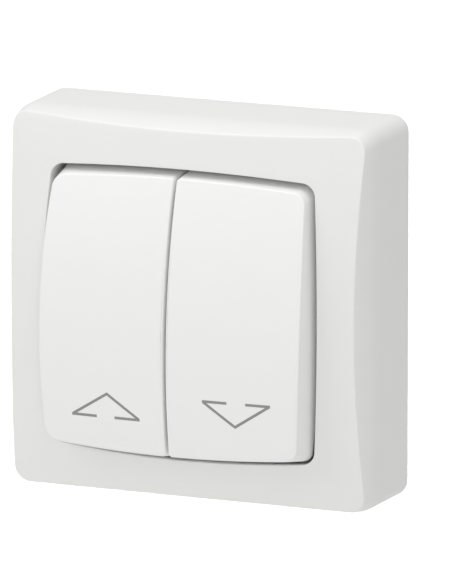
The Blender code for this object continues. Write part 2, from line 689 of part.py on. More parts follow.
def make_common_strip():
    """The strip that joins both levers to the common terminal, with notched cradles for them."""
    reach = POLE_X + CRADLE_X + CRADLE_THICKNESS / 2
    strip = box("common_strip", (-reach, reach), (STRIP_BACK_OUT, STRIP_FRONT_OUT),
                (-STRIP_HALF_WIDTH, STRIP_HALF_WIDTH), finish("common_strip", BRASS, 0.35, 1.0))
    tail_end = -TERMINAL_Z - TERMINAL_LENGTH / 2
    join(strip, box("common_tail", (-STRIP_HALF_WIDTH, STRIP_HALF_WIDTH), (STRIP_BACK_OUT, STRIP_FRONT_OUT),
                    (tail_end, 0.0)))
    for name, pole in (("up", -POLE_X), ("down", POLE_X)):
        for side in (-1, 1):
            x = pole + side * CRADLE_X
            cradle = box(f"{name}_cradle_{'inner' if side * pole < 0 else 'outer'}",
                         (x - CRADLE_THICKNESS / 2, x + CRADLE_THICKNESS / 2),
                         (STRIP_FRONT_OUT - SINK, LEVER_OUT + 2 * TRUNNION_RADIUS),
                         (-STRIP_HALF_WIDTH, STRIP_HALF_WIDTH))
            join(strip, cradle)
    notch_radius = TRUNNION_RADIUS + FIT
    ends = (point(-reach - CUT_PAST, LEVER_OUT, 0), point(reach + CUT_PAST, LEVER_OUT, 0))
    cut(
        strip,
        rod("cradle_notch", *ends, notch_radius),
        box("cradle_mouth", (ends[0].x, ends[1].x), (LEVER_OUT, LEVER_OUT + 4 * TRUNNION_RADIUS),
            (-notch_radius, notch_radius)),
    )


def make_contact_lever(name, x):
    """A see-saw plate on two trunnions, with a contact rivet under its upper end."""
    half = LEVER_THICKNESS / 2
    lever = box(f"{name}_contact_lever", (x - LEVER_HALF_WIDTH, x + LEVER_HALF_WIDTH),
                (LEVER_OUT - half, LEVER_OUT + half), (-LEVER_HALF_LENGTH, LEVER_HALF_LENGTH),
                finish(f"{name}_contact_lever", BRASS, 0.3, 1.0))
    pieces = [lever]
    for side, end in ((-1, "left"), (1, "right")):
        inner = x + side * (LEVER_HALF_WIDTH - SINK)
        outer = x + side * (LEVER_HALF_WIDTH - SINK + TRUNNION_LENGTH)
        trunnion = rod(f"{name}_trunnion_{end}", point(inner, LEVER_OUT, 0), point(outer, LEVER_OUT, 0),
                       TRUNNION_RADIUS)
        join(lever, trunnion)
        pieces.append(trunnion)
    rivet = rod(f"{name}_moving_rivet", point(x, LEVER_OUT - half - RIVET_HEIGHT, CONTACT_Z),
                point(x, LEVER_OUT, CONTACT_Z), RIVET_RADIUS)
    join(lever, rivet)
    pieces.append(rivet)
    return pieces


def key_out(x, z):
    """The crowned face of the keys while they stand upright."""
    return KEY_CREST_OUT - x * x / (2 * KEY_CROWN_ACROSS) - (z - key_middle_z()) ** 2 / (2 * KEY_CROWN_ALONG)


def key_middle_z():
    """The upright key sits this far below centre, so that it is centred once it is tilted."""
    return -(KEY_EDGE_OUT - AXLE_OUT) * math.sin(KEY_TILT)


def key_outline(side, inset, foot=False):
    """One key's outline: three pillow sides of the pair and a straight side at the groove.

    The skirt's foot is wider than the face. It lies level with the axle, so it stays centred.
    """
    flare = KEY_FLARE if foot else 0.0
    lower = 0.0 if foot else key_middle_z()
    outer = (OPENING_REACH - KEY_SIDE_GAP + flare - inset, KEY_SIDE_RADIUS + flare - inset)
    groove = (-side * KEY_GROOVE_SHIFT - KEY_GROOVE / 2 - inset, STRAIGHT)
    end = (OPENING_REACH - KEY_END_GAP + flare - inset, KEY_END_RADIUS + flare - inset)
    round_outer = max(KEY_CORNER + flare - inset, LEAST_CORNER)
    round_groove = max(KEY_GROOVE_CORNER - inset, LEAST_CORNER)
    if side > 0:
        points = outline([outer, end, groove, end], [round_outer, round_groove, round_groove, round_outer])
    else:
        points = outline([groove, end, outer, end], [round_groove, round_outer, round_outer, round_groove])
    return [p + 1j * lower for p in points]


def key_inside_out(x, z):
    return key_out(x, z) - KEY_WALL


def make_key(name, side):
    """A hollow key with a crowned face and a deep skirt, clipped to its tumbler."""
    face = key_outline(side, KEY_EDGE_ROUND)
    inner = key_outline(side, KEY_WALL)
    rim = key_outline(side, 0.0)
    corner = key_outline(side, KEY_EDGE_ROUND * ROUND_INSET)
    centre = complex(side * (OPENING_REACH - KEY_SIDE_GAP) / 2, key_middle_z())

    def shrunk(points, share):
        return [centre + (p - centre) * share for p in points]

    def below_face(drop):
        return lambda x, z: key_out(x, z) - drop

    rings = [ring(shrunk(face, k / KEY_FACE_BANDS), key_out) for k in range(1, KEY_FACE_BANDS + 1)]
    rings += [
        ring(corner, below_face(KEY_EDGE_ROUND * ROUND_INSET)),
        ring(rim, below_face(KEY_EDGE_ROUND)),
        ring(key_outline(side, 0.0, foot=True), KEY_RIM_OUT),
        ring(key_outline(side, KEY_WALL, foot=True), KEY_RIM_OUT),
        ring(inner, key_inside_out),
        ring(shrunk(inner, 0.5), key_inside_out),
    ]
    middle = (centre.real, centre.imag)
    key = loft(f"{name}_key", rings, finish(f"{name}_key", WHITE, 0.3),
               start=point(centre.real, key_out(*middle), centre.imag),
               end=point(centre.real, key_inside_out(*middle), centre.imag))
    smooth(key)
    x_low = TUMBLER_INNER_X + 3 * CLIP_THICKNESS
    x_high = TUMBLER_OUTER_X - 2 * CLIP_THICKNESS
    pieces = [key]
    for end, way in (("lower", -1), ("upper", 1)):
        z = way * PAD_HEIGHT_AT
        top = key_out(x_high, z) - KEY_WALL / 2
        pad = box(f"{name}_pad_{end}", sorted((side * x_low, side * x_high)),
                  (TUMBLER_PLATE_OUT + TUMBLER_PLATE + FIT, top), (z - PAD_HALF, z + PAD_HALF))
        z = way * CLIP_Z
        x = side * POLE_X
        top = key_out(abs(x) + CLIP_HALF_WIDTH, z) - KEY_WALL / 2
        foot = TUMBLER_PLATE_OUT - FIT - CLIP_THICKNESS
        leg = box(f"{name}_clip_{end}", (x - CLIP_HALF_WIDTH, x + CLIP_HALF_WIDTH), (foot, top),
                  (z - CLIP_THICKNESS / 2, z + CLIP_THICKNESS / 2))
        hook_z = sorted((z, z - way * (CLIP_THICKNESS / 2 + CLIP_HOOK)))
        hook = box(f"{name}_hook_{end}", (x - CLIP_HALF_WIDTH, x + CLIP_HALF_WIDTH),
                   (foot, TUMBLER_PLATE_OUT - FIT), hook_z)
        join(leg, hook)
        join(key, pad, leg)
        pieces += [pad, leg, hook]
    groove_x = sorted((-side * KEY_WALL, side * 2 * KEY_WALL))
    clearance = EAR_HALF + 2 * RUNNING
    notch = box(f"{name}_axle_notch", groove_x, (KEY_RIM_OUT - CUT_PAST, AXLE_OUT + clearance),
                (-clearance, clearance))
    cut(key, notch)
    pieces.append(notch)
    return pieces


def make_tumbler(name, side):
    """The rocker under a key: hub on the axle, plate for the key, stem with a bore for the plunger."""
    low, high = sorted((side * TUMBLER_INNER_X, side * TUMBLER_OUTER_X))
    x = side * POLE_X
    tumbler = box(f"{name}_tumbler", (low + CLIP_THICKNESS, high - CLIP_THICKNESS),
                  (TUMBLER_PLATE_OUT, TUMBLER_PLATE_OUT + TUMBLER_PLATE),
                  (-TUMBLER_HALF_HEIGHT, TUMBLER_HALF_HEIGHT), finish(f"{name}_tumbler", GREY_NYLON, 0.4))
    hub = rod(f"{name}_hub", point(low, AXLE_OUT, 0), point(high, AXLE_OUT, 0), TUMBLER_HUB_RADIUS)
    web = box(f"{name}_web", (low + 2 * CLIP_THICKNESS, high - 2 * CLIP_THICKNESS),
              (AXLE_OUT, TUMBLER_PLATE_OUT + SINK), (-TUMBLER_WEB_HALF, TUMBLER_WEB_HALF))
    stem = rod(f"{name}_stem", point(x, STEM_END_OUT, 0), point(x, AXLE_OUT, 0), STEM_RADIUS)
    nose = box(f"{name}_nose", (x - NOSE_HALF_WIDTH, x + NOSE_HALF_WIDTH),
               (STEM_END_OUT + FIT, SLIDER_FRONT_OUT - FIT), (STEM_RADIUS - SINK, STEM_RADIUS + NOSE_REACH))
    bore = rod(f"{name}_stem_bore", point(x, STEM_END_OUT - CUT_PAST, 0), point(x, STEM_BORE_END_OUT, 0),
               STEM_BORE_RADIUS)
    axle_hole = rod(f"{name}_axle_hole", point(low - CUT_PAST, AXLE_OUT, 0),
                    point(high + CUT_PAST, AXLE_OUT, 0), AXLE_RADIUS + FIT)
    join(tumbler, hub, web, stem, nose)
    cut(tumbler, bore, axle_hole)
    return [tumbler, hub, web, stem, nose, bore, axle_hole]


def make_plunger(name, x):
    """The sprung pin that wipes over the contact lever, turned from a profile."""
    profile = [(0.0, PLUNGER_LENGTH), (PLUNGER_RADIUS, PLUNGER_LENGTH)]
    for k in range(TIP_STEPS + 1):
        angle = math.pi / 2 * k / TIP_STEPS
        profile.append((PLUNGER_RADIUS * math.cos(angle), PLUNGER_RADIUS * (1 - math.sin(angle))))
    bm = bmesh.new()
    path = [bm.verts.new(point(x + radius, PLUNGER_TIP_OUT + along, 0)) for radius, along in profile]
    edges = [bm.edges.new(pair) for pair in zip(path, path[1:])]
    bmesh.ops.spin(bm, geom=path + edges, cent=point(x, PLUNGER_TIP_OUT, 0), axis=(0, 1, 0),
                   angle=2 * math.pi, steps=ROUND_SIDES, use_merge=True)
    bmesh.ops.remove_doubles(bm, verts=bm.verts, dist=0.001 * MM)
    plunger = add_object(f"{name}_plunger", bm, finish(f"{name}_plunger", LIGHT_NYLON, 0.4))
    smooth(plunger)
    return plunger


def make_spring(name, x):
    """The coil spring behind a plunger."""
    low = PLUNGER_TIP_OUT + PLUNGER_LENGTH + FIT + SPRING_WIRE
    high = STEM_BORE_END_OUT - FIT - SPRING_WIRE
    coil = PLUNGER_RADIUS - SPRING_WIRE
    curve = bpy.data.curves.new(f"{name}_spring", "CURVE")
    curve.dimensions = "3D"
    curve.bevel_depth = SPRING_WIRE
    curve.bevel_resolution = 2
    curve.use_fill_caps = True
    curve.materials.append(finish(f"{name}_spring", STEEL, 0.3, 1.0))
    count = SPRING_TURNS * SPRING_STEPS
    spline = curve.splines.new("POLY")
    spline.points.add(count)
    for k in range(count + 1):
        angle = 2 * math.pi * k / SPRING_STEPS
        out = low + (high - low) * k / count - AXLE_OUT
        place = point(coil * math.cos(angle), out, coil * math.sin(angle))
        spline.points[k].co = (*place, 1.0)
    thing = bpy.data.objects.new(f"{name}_spring", curve)
    thing.location = point(x, AXLE_OUT, 0)
    parts.objects.link(thing)
    return thing


def make_interlock_slider():
    """The bar between the poles, with a tapered notch facing each stem's nose."""
    slider = box("interlock_slider", (-SLIDER_HALF_LENGTH, SLIDER_HALF_LENGTH),
                 (SLIDER_BACK_OUT, SLIDER_FRONT_OUT), (SLIDER_LOW_Z, SLIDER_LOW_Z + SLIDER_WIDTH),
                 finish("interlock_slider", LIGHT_NYLON, 0.4))
    bottom = NOSE_HALF_WIDTH + SLIDER_TRAVEL + FIT
    swing = (AXLE_OUT - STEM_END_OUT) * math.sin(KEY_TILT)
    depth = STEM_RADIUS + NOSE_REACH + swing + FIT
    for name, x in (("up", -POLE_X), ("down", POLE_X)):
        mouth = SLIDER_LOW_Z - CUT_PAST
        shape = [complex(x - bottom - SINK, mouth), complex(x + bottom + SINK, mouth),
                 complex(x + bottom, depth), complex(x - bottom, depth)]
        ends = (SLIDER_BACK_OUT - CUT_PAST, SLIDER_FRONT_OUT + CUT_PAST)
        cut(slider, loft(f"{name}_notch", [ring(shape, out) for out in ends]))


def pivot(name, place):
    """An empty on a joint's axis that carries what turns about it."""
    empty = bpy.data.objects.new(name, None)
    parts.objects.link(empty)
    empty.location = place
    empty.empty_display_size = 2 * MM
    return empty


def hang(carrier, pieces):
    """Move each piece's origin to the pivot that carries it and make it a child of that pivot."""
    for piece in pieces:
        if piece.type == "MESH":
            piece.data.transform(Matrix.Translation(-carrier.location))
            piece.location = (0.0, 0.0, 0.0)
        else:
            piece.location = piece.location - carrier.location
        piece.parent = carrier


def make_pole(name, side):
    """Everything that moves for one direction, hung on the key's and the lever's pivots."""
    x = side * POLE_X
    key_pivot = pivot(f"{name}_key_pivot", point(x, AXLE_OUT, 0))
    hang(key_pivot, make_key(name, side) + make_tumbler(name, side))
    hang(key_pivot, [make_plunger(name, x), make_spring(name, x)])
    key_pivot.rotation_euler.x = -KEY_TILT
    lever_pivot = pivot(f"{name}_lever_pivot", point(x, LEVER_OUT, 0))
    hang(lever_pivot, make_contact_lever(name, x))
    lever_pivot.rotation_euler.x = LEVER_TILT


def make_switch():
    clear_scene()
    make_back_box()
    make_front_frame()
    make_mechanism_housing()
    make_mechanism_cover()
    make_mechanism_screws()
    end = EAR_X + EAR_THICKNESS / 2 + FIT
    axle = rod("key_axle", point(-end, AXLE_OUT, 0), point(end, AXLE_OUT, 0), AXLE_RADIUS,
               finish("key_axle", STEEL, 0.3, 1.0))
    smooth(axle)
    make_common_strip()
    make_terminal("common", 0.0, -1)
    for name, side in (("up", -1), ("down", 1)):
        make_terminal(name, side * POLE_X, 1)
        make_fixed_contact(name, side * POLE_X)
        make_pole(name, side)
    make_interlock_slider()


make_switch()
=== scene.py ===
# %% [markdown]
# # A roller shutter switch
#
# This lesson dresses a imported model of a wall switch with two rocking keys. The model comes in as a fixed
# frame: every CAD node keeps its place, and the frame, the keys and the printed arrows get finer pieces
# and moulded surfaces here. The axes are those of the model: +X is right, +Z is up, and the wall is the
# plane Y = 0, so "out" means a distance from the wall towards -Y. Lengths are in metres.

# %% Load the model
import cmath
import json
import math

import bmesh
import bpy
from mathutils import Matrix, Vector


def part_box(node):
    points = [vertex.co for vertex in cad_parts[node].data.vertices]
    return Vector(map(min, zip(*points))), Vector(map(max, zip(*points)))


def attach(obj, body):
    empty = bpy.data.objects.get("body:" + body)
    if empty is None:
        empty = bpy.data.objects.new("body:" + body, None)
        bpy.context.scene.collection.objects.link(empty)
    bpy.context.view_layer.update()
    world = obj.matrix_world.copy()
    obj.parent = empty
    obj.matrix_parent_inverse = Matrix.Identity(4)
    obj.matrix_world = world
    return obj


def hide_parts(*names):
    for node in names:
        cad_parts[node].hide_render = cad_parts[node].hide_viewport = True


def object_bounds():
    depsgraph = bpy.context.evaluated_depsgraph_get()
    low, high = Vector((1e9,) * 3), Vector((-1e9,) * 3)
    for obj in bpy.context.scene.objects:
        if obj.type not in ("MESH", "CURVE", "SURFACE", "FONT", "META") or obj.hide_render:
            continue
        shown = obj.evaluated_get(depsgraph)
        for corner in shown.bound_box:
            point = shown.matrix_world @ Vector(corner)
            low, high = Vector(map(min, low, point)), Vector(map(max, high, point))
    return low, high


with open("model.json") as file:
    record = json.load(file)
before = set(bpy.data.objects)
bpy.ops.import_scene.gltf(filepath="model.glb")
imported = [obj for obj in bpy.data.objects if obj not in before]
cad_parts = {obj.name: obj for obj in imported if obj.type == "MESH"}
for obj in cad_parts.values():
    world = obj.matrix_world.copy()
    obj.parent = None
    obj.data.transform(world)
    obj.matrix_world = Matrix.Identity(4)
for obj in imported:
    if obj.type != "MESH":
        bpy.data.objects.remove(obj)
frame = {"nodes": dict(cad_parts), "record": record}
cad_box = [list(corner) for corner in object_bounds()]
MM = 0.001
print("nodes:", len(frame["nodes"]), "CAD box in mm:", [[round(v / MM, 2) for v in c] for c in cad_box])

# %% [markdown]
# ## The camera
#
# The photograph was taken from a little to the right and a little above, from far away: the sides of the
# frame stay almost parallel. A long lens about two metres off gives the same mild perspective. The angles
# come from the slopes of the frame's edges in the photograph.

# %% Camera
VIEW_RIGHT = math.radians(23.042)
VIEW_UP = math.radians(12.182)
VIEW_DISTANCE = 2.17082
VIEW_TARGET = Vector((4.353 * MM, -12.0 * MM, 2.411 * MM))
PHOTO_HEIGHT = 584
FOCAL_PIXELS = 10567.0
SENSOR_WIDTH = 36.0
VIEW_END = 20.0

camera_data = bpy.data.cameras.new("camera")
camera = bpy.data.objects.new("camera", camera_data)
bpy.context.scene.collection.objects.link(camera)
away = Vector((
    math.sin(VIEW_RIGHT) * math.cos(VIEW_UP),
    -math.cos(VIEW_RIGHT) * math.cos(VIEW_UP),
    math.sin(VIEW_UP),
))
camera.location = VIEW_TARGET + away * VIEW_DISTANCE
camera.rotation_euler = away.to_track_quat("Z", "Y").to_euler()
camera_data.sensor_width = SENSOR_WIDTH
camera_data.lens = FOCAL_PIXELS * SENSOR_WIDTH / PHOTO_HEIGHT
camera_data.clip_end = VIEW_END
bpy.context.scene.camera = camera
print("lens in mm:", round(camera_data.lens))

# %% [markdown]
# ## Outlines
#
# Moulded switches hardly have a straight line: each side of the opening and of the keys is a shallow arc,
# and the corners are small fillets between two arcs. An outline could be drawn point by point, but an arc
# needs only its radius, so the points are worked out from the arcs. Complex numbers make that short: the
# real part is x, the imaginary part is z, and a turn is a multiplication.

# %% Outline of four arcs with rounded corners
SIDE_STEPS = 30
CORNER_STEPS = 10
STRAIGHT = 1000.0
FACING = (1, 1j, -1, -1j)


def fillet_centre(centre_a, radius_a, centre_b, radius_b, towards):
    """Where two circles meet, on the side that is named."""
    line = centre_b - centre_a
    along = (radius_a**2 - radius_b**2 + abs(line) ** 2) / (2 * abs(line))
    across = math.sqrt(radius_a**2 - along**2)
    foot = centre_a + line / abs(line) * along
    step = line / abs(line) * 1j * across
    return max((foot + step, foot - step), key=lambda p: (p * towards.conjugate()).real)


def outline(sides, corners):
    """Points of a closed outline. Each side is (reach, radius), anticlockwise from the right."""
    centres = [way * (reach - radius) for way, (reach, radius) in zip(FACING, sides)]
    fillets = []
    for i, corner in enumerate(corners):
        j = (i + 1) % 4
        fillets.append(fillet_centre(centres[i], sides[i][1] - corner, centres[j], sides[j][1] - corner,
                                     FACING[i] + FACING[j]))
    points = []
    for i, way in enumerate(FACING):
        first = cmath.phase((fillets[i - 1] - centres[i]) / way)
        last = cmath.phase((fillets[i] - centres[i]) / way)
        turned = cmath.phase((fillets[i] - centres[(i + 1) % 4]) / way)
        for k in range(SIDE_STEPS):
            angle = first + (last - first) * k / SIDE_STEPS
            points.append(centres[i] + sides[i][1] * way * cmath.exp(1j * angle))
        for k in range(CORNER_STEPS):
            angle = last + (turned - last) * k / CORNER_STEPS
            points.append(fillets[i] + corners[i] * way * cmath.exp(1j * angle))
    return points


def square(half, corner):
    """An outline with four straight sides, which are arcs of a very large radius."""
    return outline([(half, STRAIGHT)] * 4, [corner] * 4)


print("points in an outline:", len(square(10 * MM, MM)))

# %% [markdown]
# ## Skins made of rings
#
# The frame and the keys are thin moulded shells. On the real object a mould gives them their form. Here a
# ring of vertices is added, extruded again and again, and each new ring is put where the shell passes. This
# keeps even rows of four-sided faces, which smooth shading likes, and the wall has a true thickness.

# %% Ring by ring
def only(piece):
    """Make one piece the only selected one and the active one."""
    bpy.ops.object.select_all(action="DESELECT")
    piece.select_set(True)
    bpy.context.view_layer.objects.active = piece


def at(point, out):
    """The place of an outline's point at a distance out from the wall."""
    return Vector((point.real, -out, point.imag))


def ring(points, height):
    """Places for a ring: height is one distance out, a list of them, or a function of x and z."""
    if callable(height):
        return [at(p, height(p.real, p.imag)) for p in points]
    if isinstance(height, list):
        return [at(p, out) for p, out in zip(points, height)]
    return [at(p, height) for p in points]


def first_ring(name, places):
    """Start a piece from a circle whose vertices go to the places. Each one keeps its number in the ring."""
    bpy.ops.object.select_all(action="DESELECT")
    bpy.ops.mesh.primitive_circle_add(vertices=len(places))
    piece = bpy.context.object
    piece.name = piece.data.name = name
    order = piece.data.attributes.new("order", "INT", "POINT")
    for vertex, place in zip(piece.data.vertices, places):
        order.data[vertex.index].value = vertex.index
        vertex.co = place
    bpy.ops.object.mode_set(mode="EDIT")
    bpy.ops.mesh.select_mode(type="EDGE")
    bpy.ops.mesh.select_all(action="SELECT")
    return piece


def next_ring(piece, places):
    """Extrude the selected ring and put the new one in its place."""
    bpy.ops.mesh.extrude_edges_move()
    shape = bmesh.from_edit_mesh(piece.data)
    order = shape.verts.layers.int["order"]
    for vertex in shape.verts:
        if vertex.select:
            vertex.co = places[vertex[order]]
    bmesh.update_edit_mesh(piece.data)


print("a ring at one distance out:", len(ring(square(10 * MM, MM), 5 * MM)), "places")

# %% Rounds, shading and a check
MERGE_DISTANCE = 0.001 * MM
SMOOTH_ANGLE = math.radians(30.0)


def rounded(before, corner, after, steps):
    """Rings of an edge's round, bent from one ring over the sharp corner's ring to another."""
    rings = []
    for k in range(steps + 1):
        t = k / steps
        first, middle, last = (1 - t) ** 2, 2 * t * (1 - t), t**2
        rings.append([a * first + c * middle + b * last for a, c, b in zip(before, corner, after)])
    return rings


def shade(piece):
    """Shade a piece smooth, but keep its real edges sharp."""
    only(piece)
    bpy.ops.object.shade_smooth_by_angle(angle=SMOOTH_ANGLE)


def finish_shape(piece):
    """Merge doubled vertices, point the faces outwards, leave edit mode and shade the piece."""
    bpy.ops.mesh.select_all(action="SELECT")
    bpy.ops.mesh.remove_doubles(threshold=MERGE_DISTANCE)
    bpy.ops.mesh.normals_make_consistent(inside=False)
    bpy.ops.object.mode_set(mode="OBJECT")
    piece.data.attributes.remove(piece.data.attributes["order"])
    shade(piece)


def tell(piece, node):
    """Print how far a piece's box is from the box of the CAD node that it stands for."""
    low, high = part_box(node)
    places = [vertex.co for vertex in piece.data.vertices]
    gaps = []
    for axis in range(3):
        gaps.append(round((min(p[axis] for p in places) - low[axis]) / MM, 3))
        gaps.append(round((max(p[axis] for p in places) - high[axis]) / MM, 3))
    print(piece.name, "faces:", len(piece.data.polygons), "box against the CAD node in mm:", gaps)


print("edges sharper than", round(math.degrees(SMOOTH_ANGLE)), "degrees stay sharp")

# %% [markdown]
# ## The front frame
#
# The frame is a square shell. Its outer wall leans in a little, so that it leaves the mould, then curves over
# towards the front, where it meets a shallow dome. The dome carries a bowed opening for the keys, and behind
# the opening's edge a collar runs down to the support plate. A cube with a bevel would give a box; the dome
# and the curved shoulder ask for rings whose points lie at different depths.

# %% The frame's own sizes
FRAME_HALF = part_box("front_frame")[1].x
FRAME_DRAFT = 0.0101
FRAME_SHOULDER_OUT = 15.3 * MM
FRAME_SHOULDER_RADIUS = 29.9 * MM
FRAME_WALL = 2.0 * MM
FRAME_BACK_CORNER = 3.5 * MM
FRAME_FRONT_CORNER = 3.4 * MM
FRAME_INNER_CORNER = 2.8 * MM
FRAME_EDGE_ROUND = 0.3 * MM
DOME_CREST_OUT = 28.75 * MM
DOME_RADIUS = 200.0 * MM
FRAME_BAND = 9.55 * MM
OPENING_REACH = FRAME_HALF - FRAME_BAND
OPENING_BOW_RADIUS = 318.0 * MM
OPENING_CORNER = 3.0 * MM
OPENING_EDGE_ROUND = 0.25 * MM
COLLAR_WALL = 1.8 * MM
COLLAR_END_OUT = 17.1 * MM


def frame_half(out):
    """Half the frame's width at a distance out: first the leaning wall, then the curved shoulder."""
    rise = max(0.0, out - FRAME_SHOULDER_OUT)
    return FRAME_HALF - FRAME_DRAFT * out - rise**2 / (2 * FRAME_SHOULDER_RADIUS)


def dome_out(x, z):
    """How far out the domed front lies."""
    return DOME_CREST_OUT - (x * x + z * z) / (2 * DOME_RADIUS)


def under_dome(x, z):
    """The inner side of the dome, one wall behind it."""
    return dome_out(x, z) - FRAME_WALL


print("half the frame at the shoulder:", round(frame_half(FRAME_SHOULDER_OUT) / MM, 2), "mm")

# %% The wall's rings and the edge where it meets the dome
EDGE_PASSES = 12


def wall_points(outs, inset):
    """The plan outline with each point at its own distance out. The inner corners are tighter."""
    slim_half = FRAME_HALF - FRAME_WALL
    slim_corner = FRAME_INNER_CORNER if inset else FRAME_FRONT_CORNER
    points = []
    for wide, narrow, out in zip(square(FRAME_HALF, FRAME_BACK_CORNER), square(slim_half, slim_corner), outs):
        share = (frame_half(out) - inset - slim_half) / (FRAME_HALF - slim_half)
        points.append(narrow + (wide - narrow) * share)
    return points


def edge_outs(inset, drop):
    """How far out the wall meets the dome at each point of the outline, found by going back and forth."""
    outs = [FRAME_SHOULDER_OUT] * len(square(FRAME_HALF, FRAME_BACK_CORNER))
    for _ in range(EDGE_PASSES):
        outs = [dome_out(p.real, p.imag) - drop for p in wall_points(outs, inset)]
    return outs


def wall_ring(outs, inset=0.0):
    """Places on the wall, or on its inner side when the inset is the wall's thickness."""
    return ring(wall_points(outs, inset), outs)


def opening(inset):
    """The bowed outline of the opening, made smaller by the inset."""
    side = (OPENING_REACH - inset, OPENING_BOW_RADIUS - inset)
    return outline([side] * 4, [OPENING_CORNER - inset] * 4)


edge = edge_outs(0.0, 0.0)
print("the edge lies", round(min(edge) / MM, 2), "to", round(max(edge) / MM, 2), "mm out")

# %% [markdown]
# ### From the back edge to the back edge
#
# The rings start at the back of the outer wall and run over the shoulder, the dome and the opening's edge,
# down the collar and back along the inside. A bridge between the last ring and the first closes the shell.
# Two sheets with a thickness modifier could do it too, but then the inner form would only repeat the outer.

# %% Model the frame
BACK_ROUND = 0.3 * MM
WALL_BANDS = 8
FACE_BANDS = 8
ROUND_STEPS = 5


def make_frame():
    """The whole shell, ring after ring, closed at the back."""
    inner_edge = edge_outs(FRAME_WALL, FRAME_WALL)
    shoulder = [FRAME_SHOULDER_OUT] * len(edge)
    back = [0.0] * len(edge)

    def between(share, top):
        return [FRAME_SHOULDER_OUT + share * (out - FRAME_SHOULDER_OUT) for out in top]

    outer, mouth = wall_points(edge, 0.0), opening(0.0)
    inward = [(m - p) / abs(m - p) for p, m in zip(outer, mouth)]
    start = [p + way * FRAME_EDGE_ROUND for p, way in zip(outer, inward)]
    stop = [m - way * OPENING_EDGE_ROUND for m, way in zip(mouth, inward)]
    below = [out - FRAME_EDGE_ROUND for out in edge]
    rings = [wall_ring([BACK_ROUND] * len(edge)), wall_ring(shoulder)]
    rings += [wall_ring(between(k / WALL_BANDS, below)) for k in range(1, WALL_BANDS)]
    rings += rounded(wall_ring(below), wall_ring(edge), ring(start, dome_out), ROUND_STEPS)
    for k in range(1, FACE_BANDS):
        rings.append(ring([a + (b - a) * k / FACE_BANDS for a, b in zip(start, stop)], dome_out))
    rings += rounded(ring(stop, dome_out), ring(mouth, dome_out),
                     ring(mouth, lambda x, z: dome_out(x, z) - OPENING_EDGE_ROUND), ROUND_STEPS)
    rings += [
        ring(mouth, COLLAR_END_OUT),
        ring(opening(-COLLAR_WALL), COLLAR_END_OUT),
        ring(opening(-COLLAR_WALL), under_dome),
        wall_ring(inner_edge, FRAME_WALL),
        wall_ring(between(0.5, inner_edge), FRAME_WALL),
        wall_ring(shoulder, FRAME_WALL),
        wall_ring(back, FRAME_WALL),
        wall_ring(back, BACK_ROUND),
    ]
    piece = first_ring("frame_shell", rings[0])
    for places in rings[1:]:
        next_ring(piece, places)
    bpy.ops.mesh.select_all(action="DESELECT")
    bpy.ops.mesh.select_non_manifold()
    bpy.ops.mesh.bridge_edge_loops()
    finish_shape(piece)
    return piece


frame_shell = make_frame()
tell(frame_shell, "front_frame")

# %% [markdown]
# ### Snap ribs
#
# Four small ribs inside the wall hold the frame on the tray. One is a cube with its edges taken off. It is
# copied to each place, each copy with a mesh of its own, and joined to the shell with a boolean, so that it
# is a solid part of the same moulding.

# %% Blocks and booleans
BEVEL_SEGMENTS = 2


def add_block(name, x, out, z):
    """A cube primitive between two values along each direction, with its size and place in its mesh."""
    bpy.ops.object.select_all(action="DESELECT")
    centre = ((x[0] + x[1]) / 2, -(out[0] + out[1]) / 2, (z[0] + z[1]) / 2)
    size = (abs(x[1] - x[0]), abs(out[1] - out[0]), abs(z[1] - z[0]))
    bpy.ops.mesh.primitive_cube_add(size=1.0, location=centre, scale=size)
    block = bpy.context.object
    block.name = block.data.name = name
    bpy.ops.object.transform_apply(location=True, rotation=True, scale=True)
    return block


def combine(piece, extra, operation):
    """Join a second piece on (UNION) or cut it out (DIFFERENCE) with the exact boolean, then remove it."""
    only(piece)
    boolean = piece.modifiers.new("combine", "BOOLEAN")
    boolean.operation = operation
    boolean.solver = "EXACT"
    boolean.object = extra
    bpy.ops.object.modifier_apply(modifier=boolean.name)
    bpy.data.objects.remove(extra, do_unlink=True)


def bevel_all(piece, width):
    """Take off all edges of a piece."""
    only(piece)
    bpy.ops.object.mode_set(mode="EDIT")
    bpy.ops.mesh.select_all(action="SELECT")
    bpy.ops.mesh.bevel(offset=width, segments=BEVEL_SEGMENTS, affect="EDGES")
    bpy.ops.object.mode_set(mode="OBJECT")


def copy_to(piece, move):
    """A copy with a mesh of its own, moved within that mesh."""
    copy = piece.copy()
    copy.data = piece.data.copy()
    copy.data.transform(Matrix.Translation(move))
    bpy.context.scene.collection.objects.link(copy)
    return copy


print("each edge is taken off with", BEVEL_SEGMENTS, "segments")

# %% Snap ribs
SNAP_X = 14.0 * MM
SNAP_LENGTH = 8.0 * MM
SNAP_HEIGHT = 2.0 * MM
SNAP_OUT = 9.0 * MM
SNAP_REACH = 36.8 * MM
SINK = 0.4 * MM

rib_end = frame_half(SNAP_OUT) - FRAME_WALL + SINK
rib = add_block("rib", (-SNAP_LENGTH / 2, SNAP_LENGTH / 2),
                (SNAP_OUT - SNAP_HEIGHT / 2, SNAP_OUT + SNAP_HEIGHT / 2), (SNAP_REACH, rib_end))
bevel_all(rib, SINK / 2)
for drop in (SNAP_REACH + rib_end, 0.0):
    for x in (-SNAP_X, SNAP_X):
        combine(frame_shell, copy_to(rib, (x, 0.0, -drop)), "UNION")
bpy.data.objects.remove(rib, do_unlink=True)
shade(frame_shell)
print("frame with ribs:", len(frame_shell.data.polygons), "faces")

# %% [markdown]
# ## The keys
#
# The two keys share one pillow outline and one crowned face, split by a thin groove, and each is a hollow
# cap with a deep skirt that widens a little to its foot. They are modelled upright, and then turned about the
# axle into the rest pose, where the lower ends stand out. The face is closed with a grid of quads, which
# keeps the crown free of the creases that a fan of triangles would show.

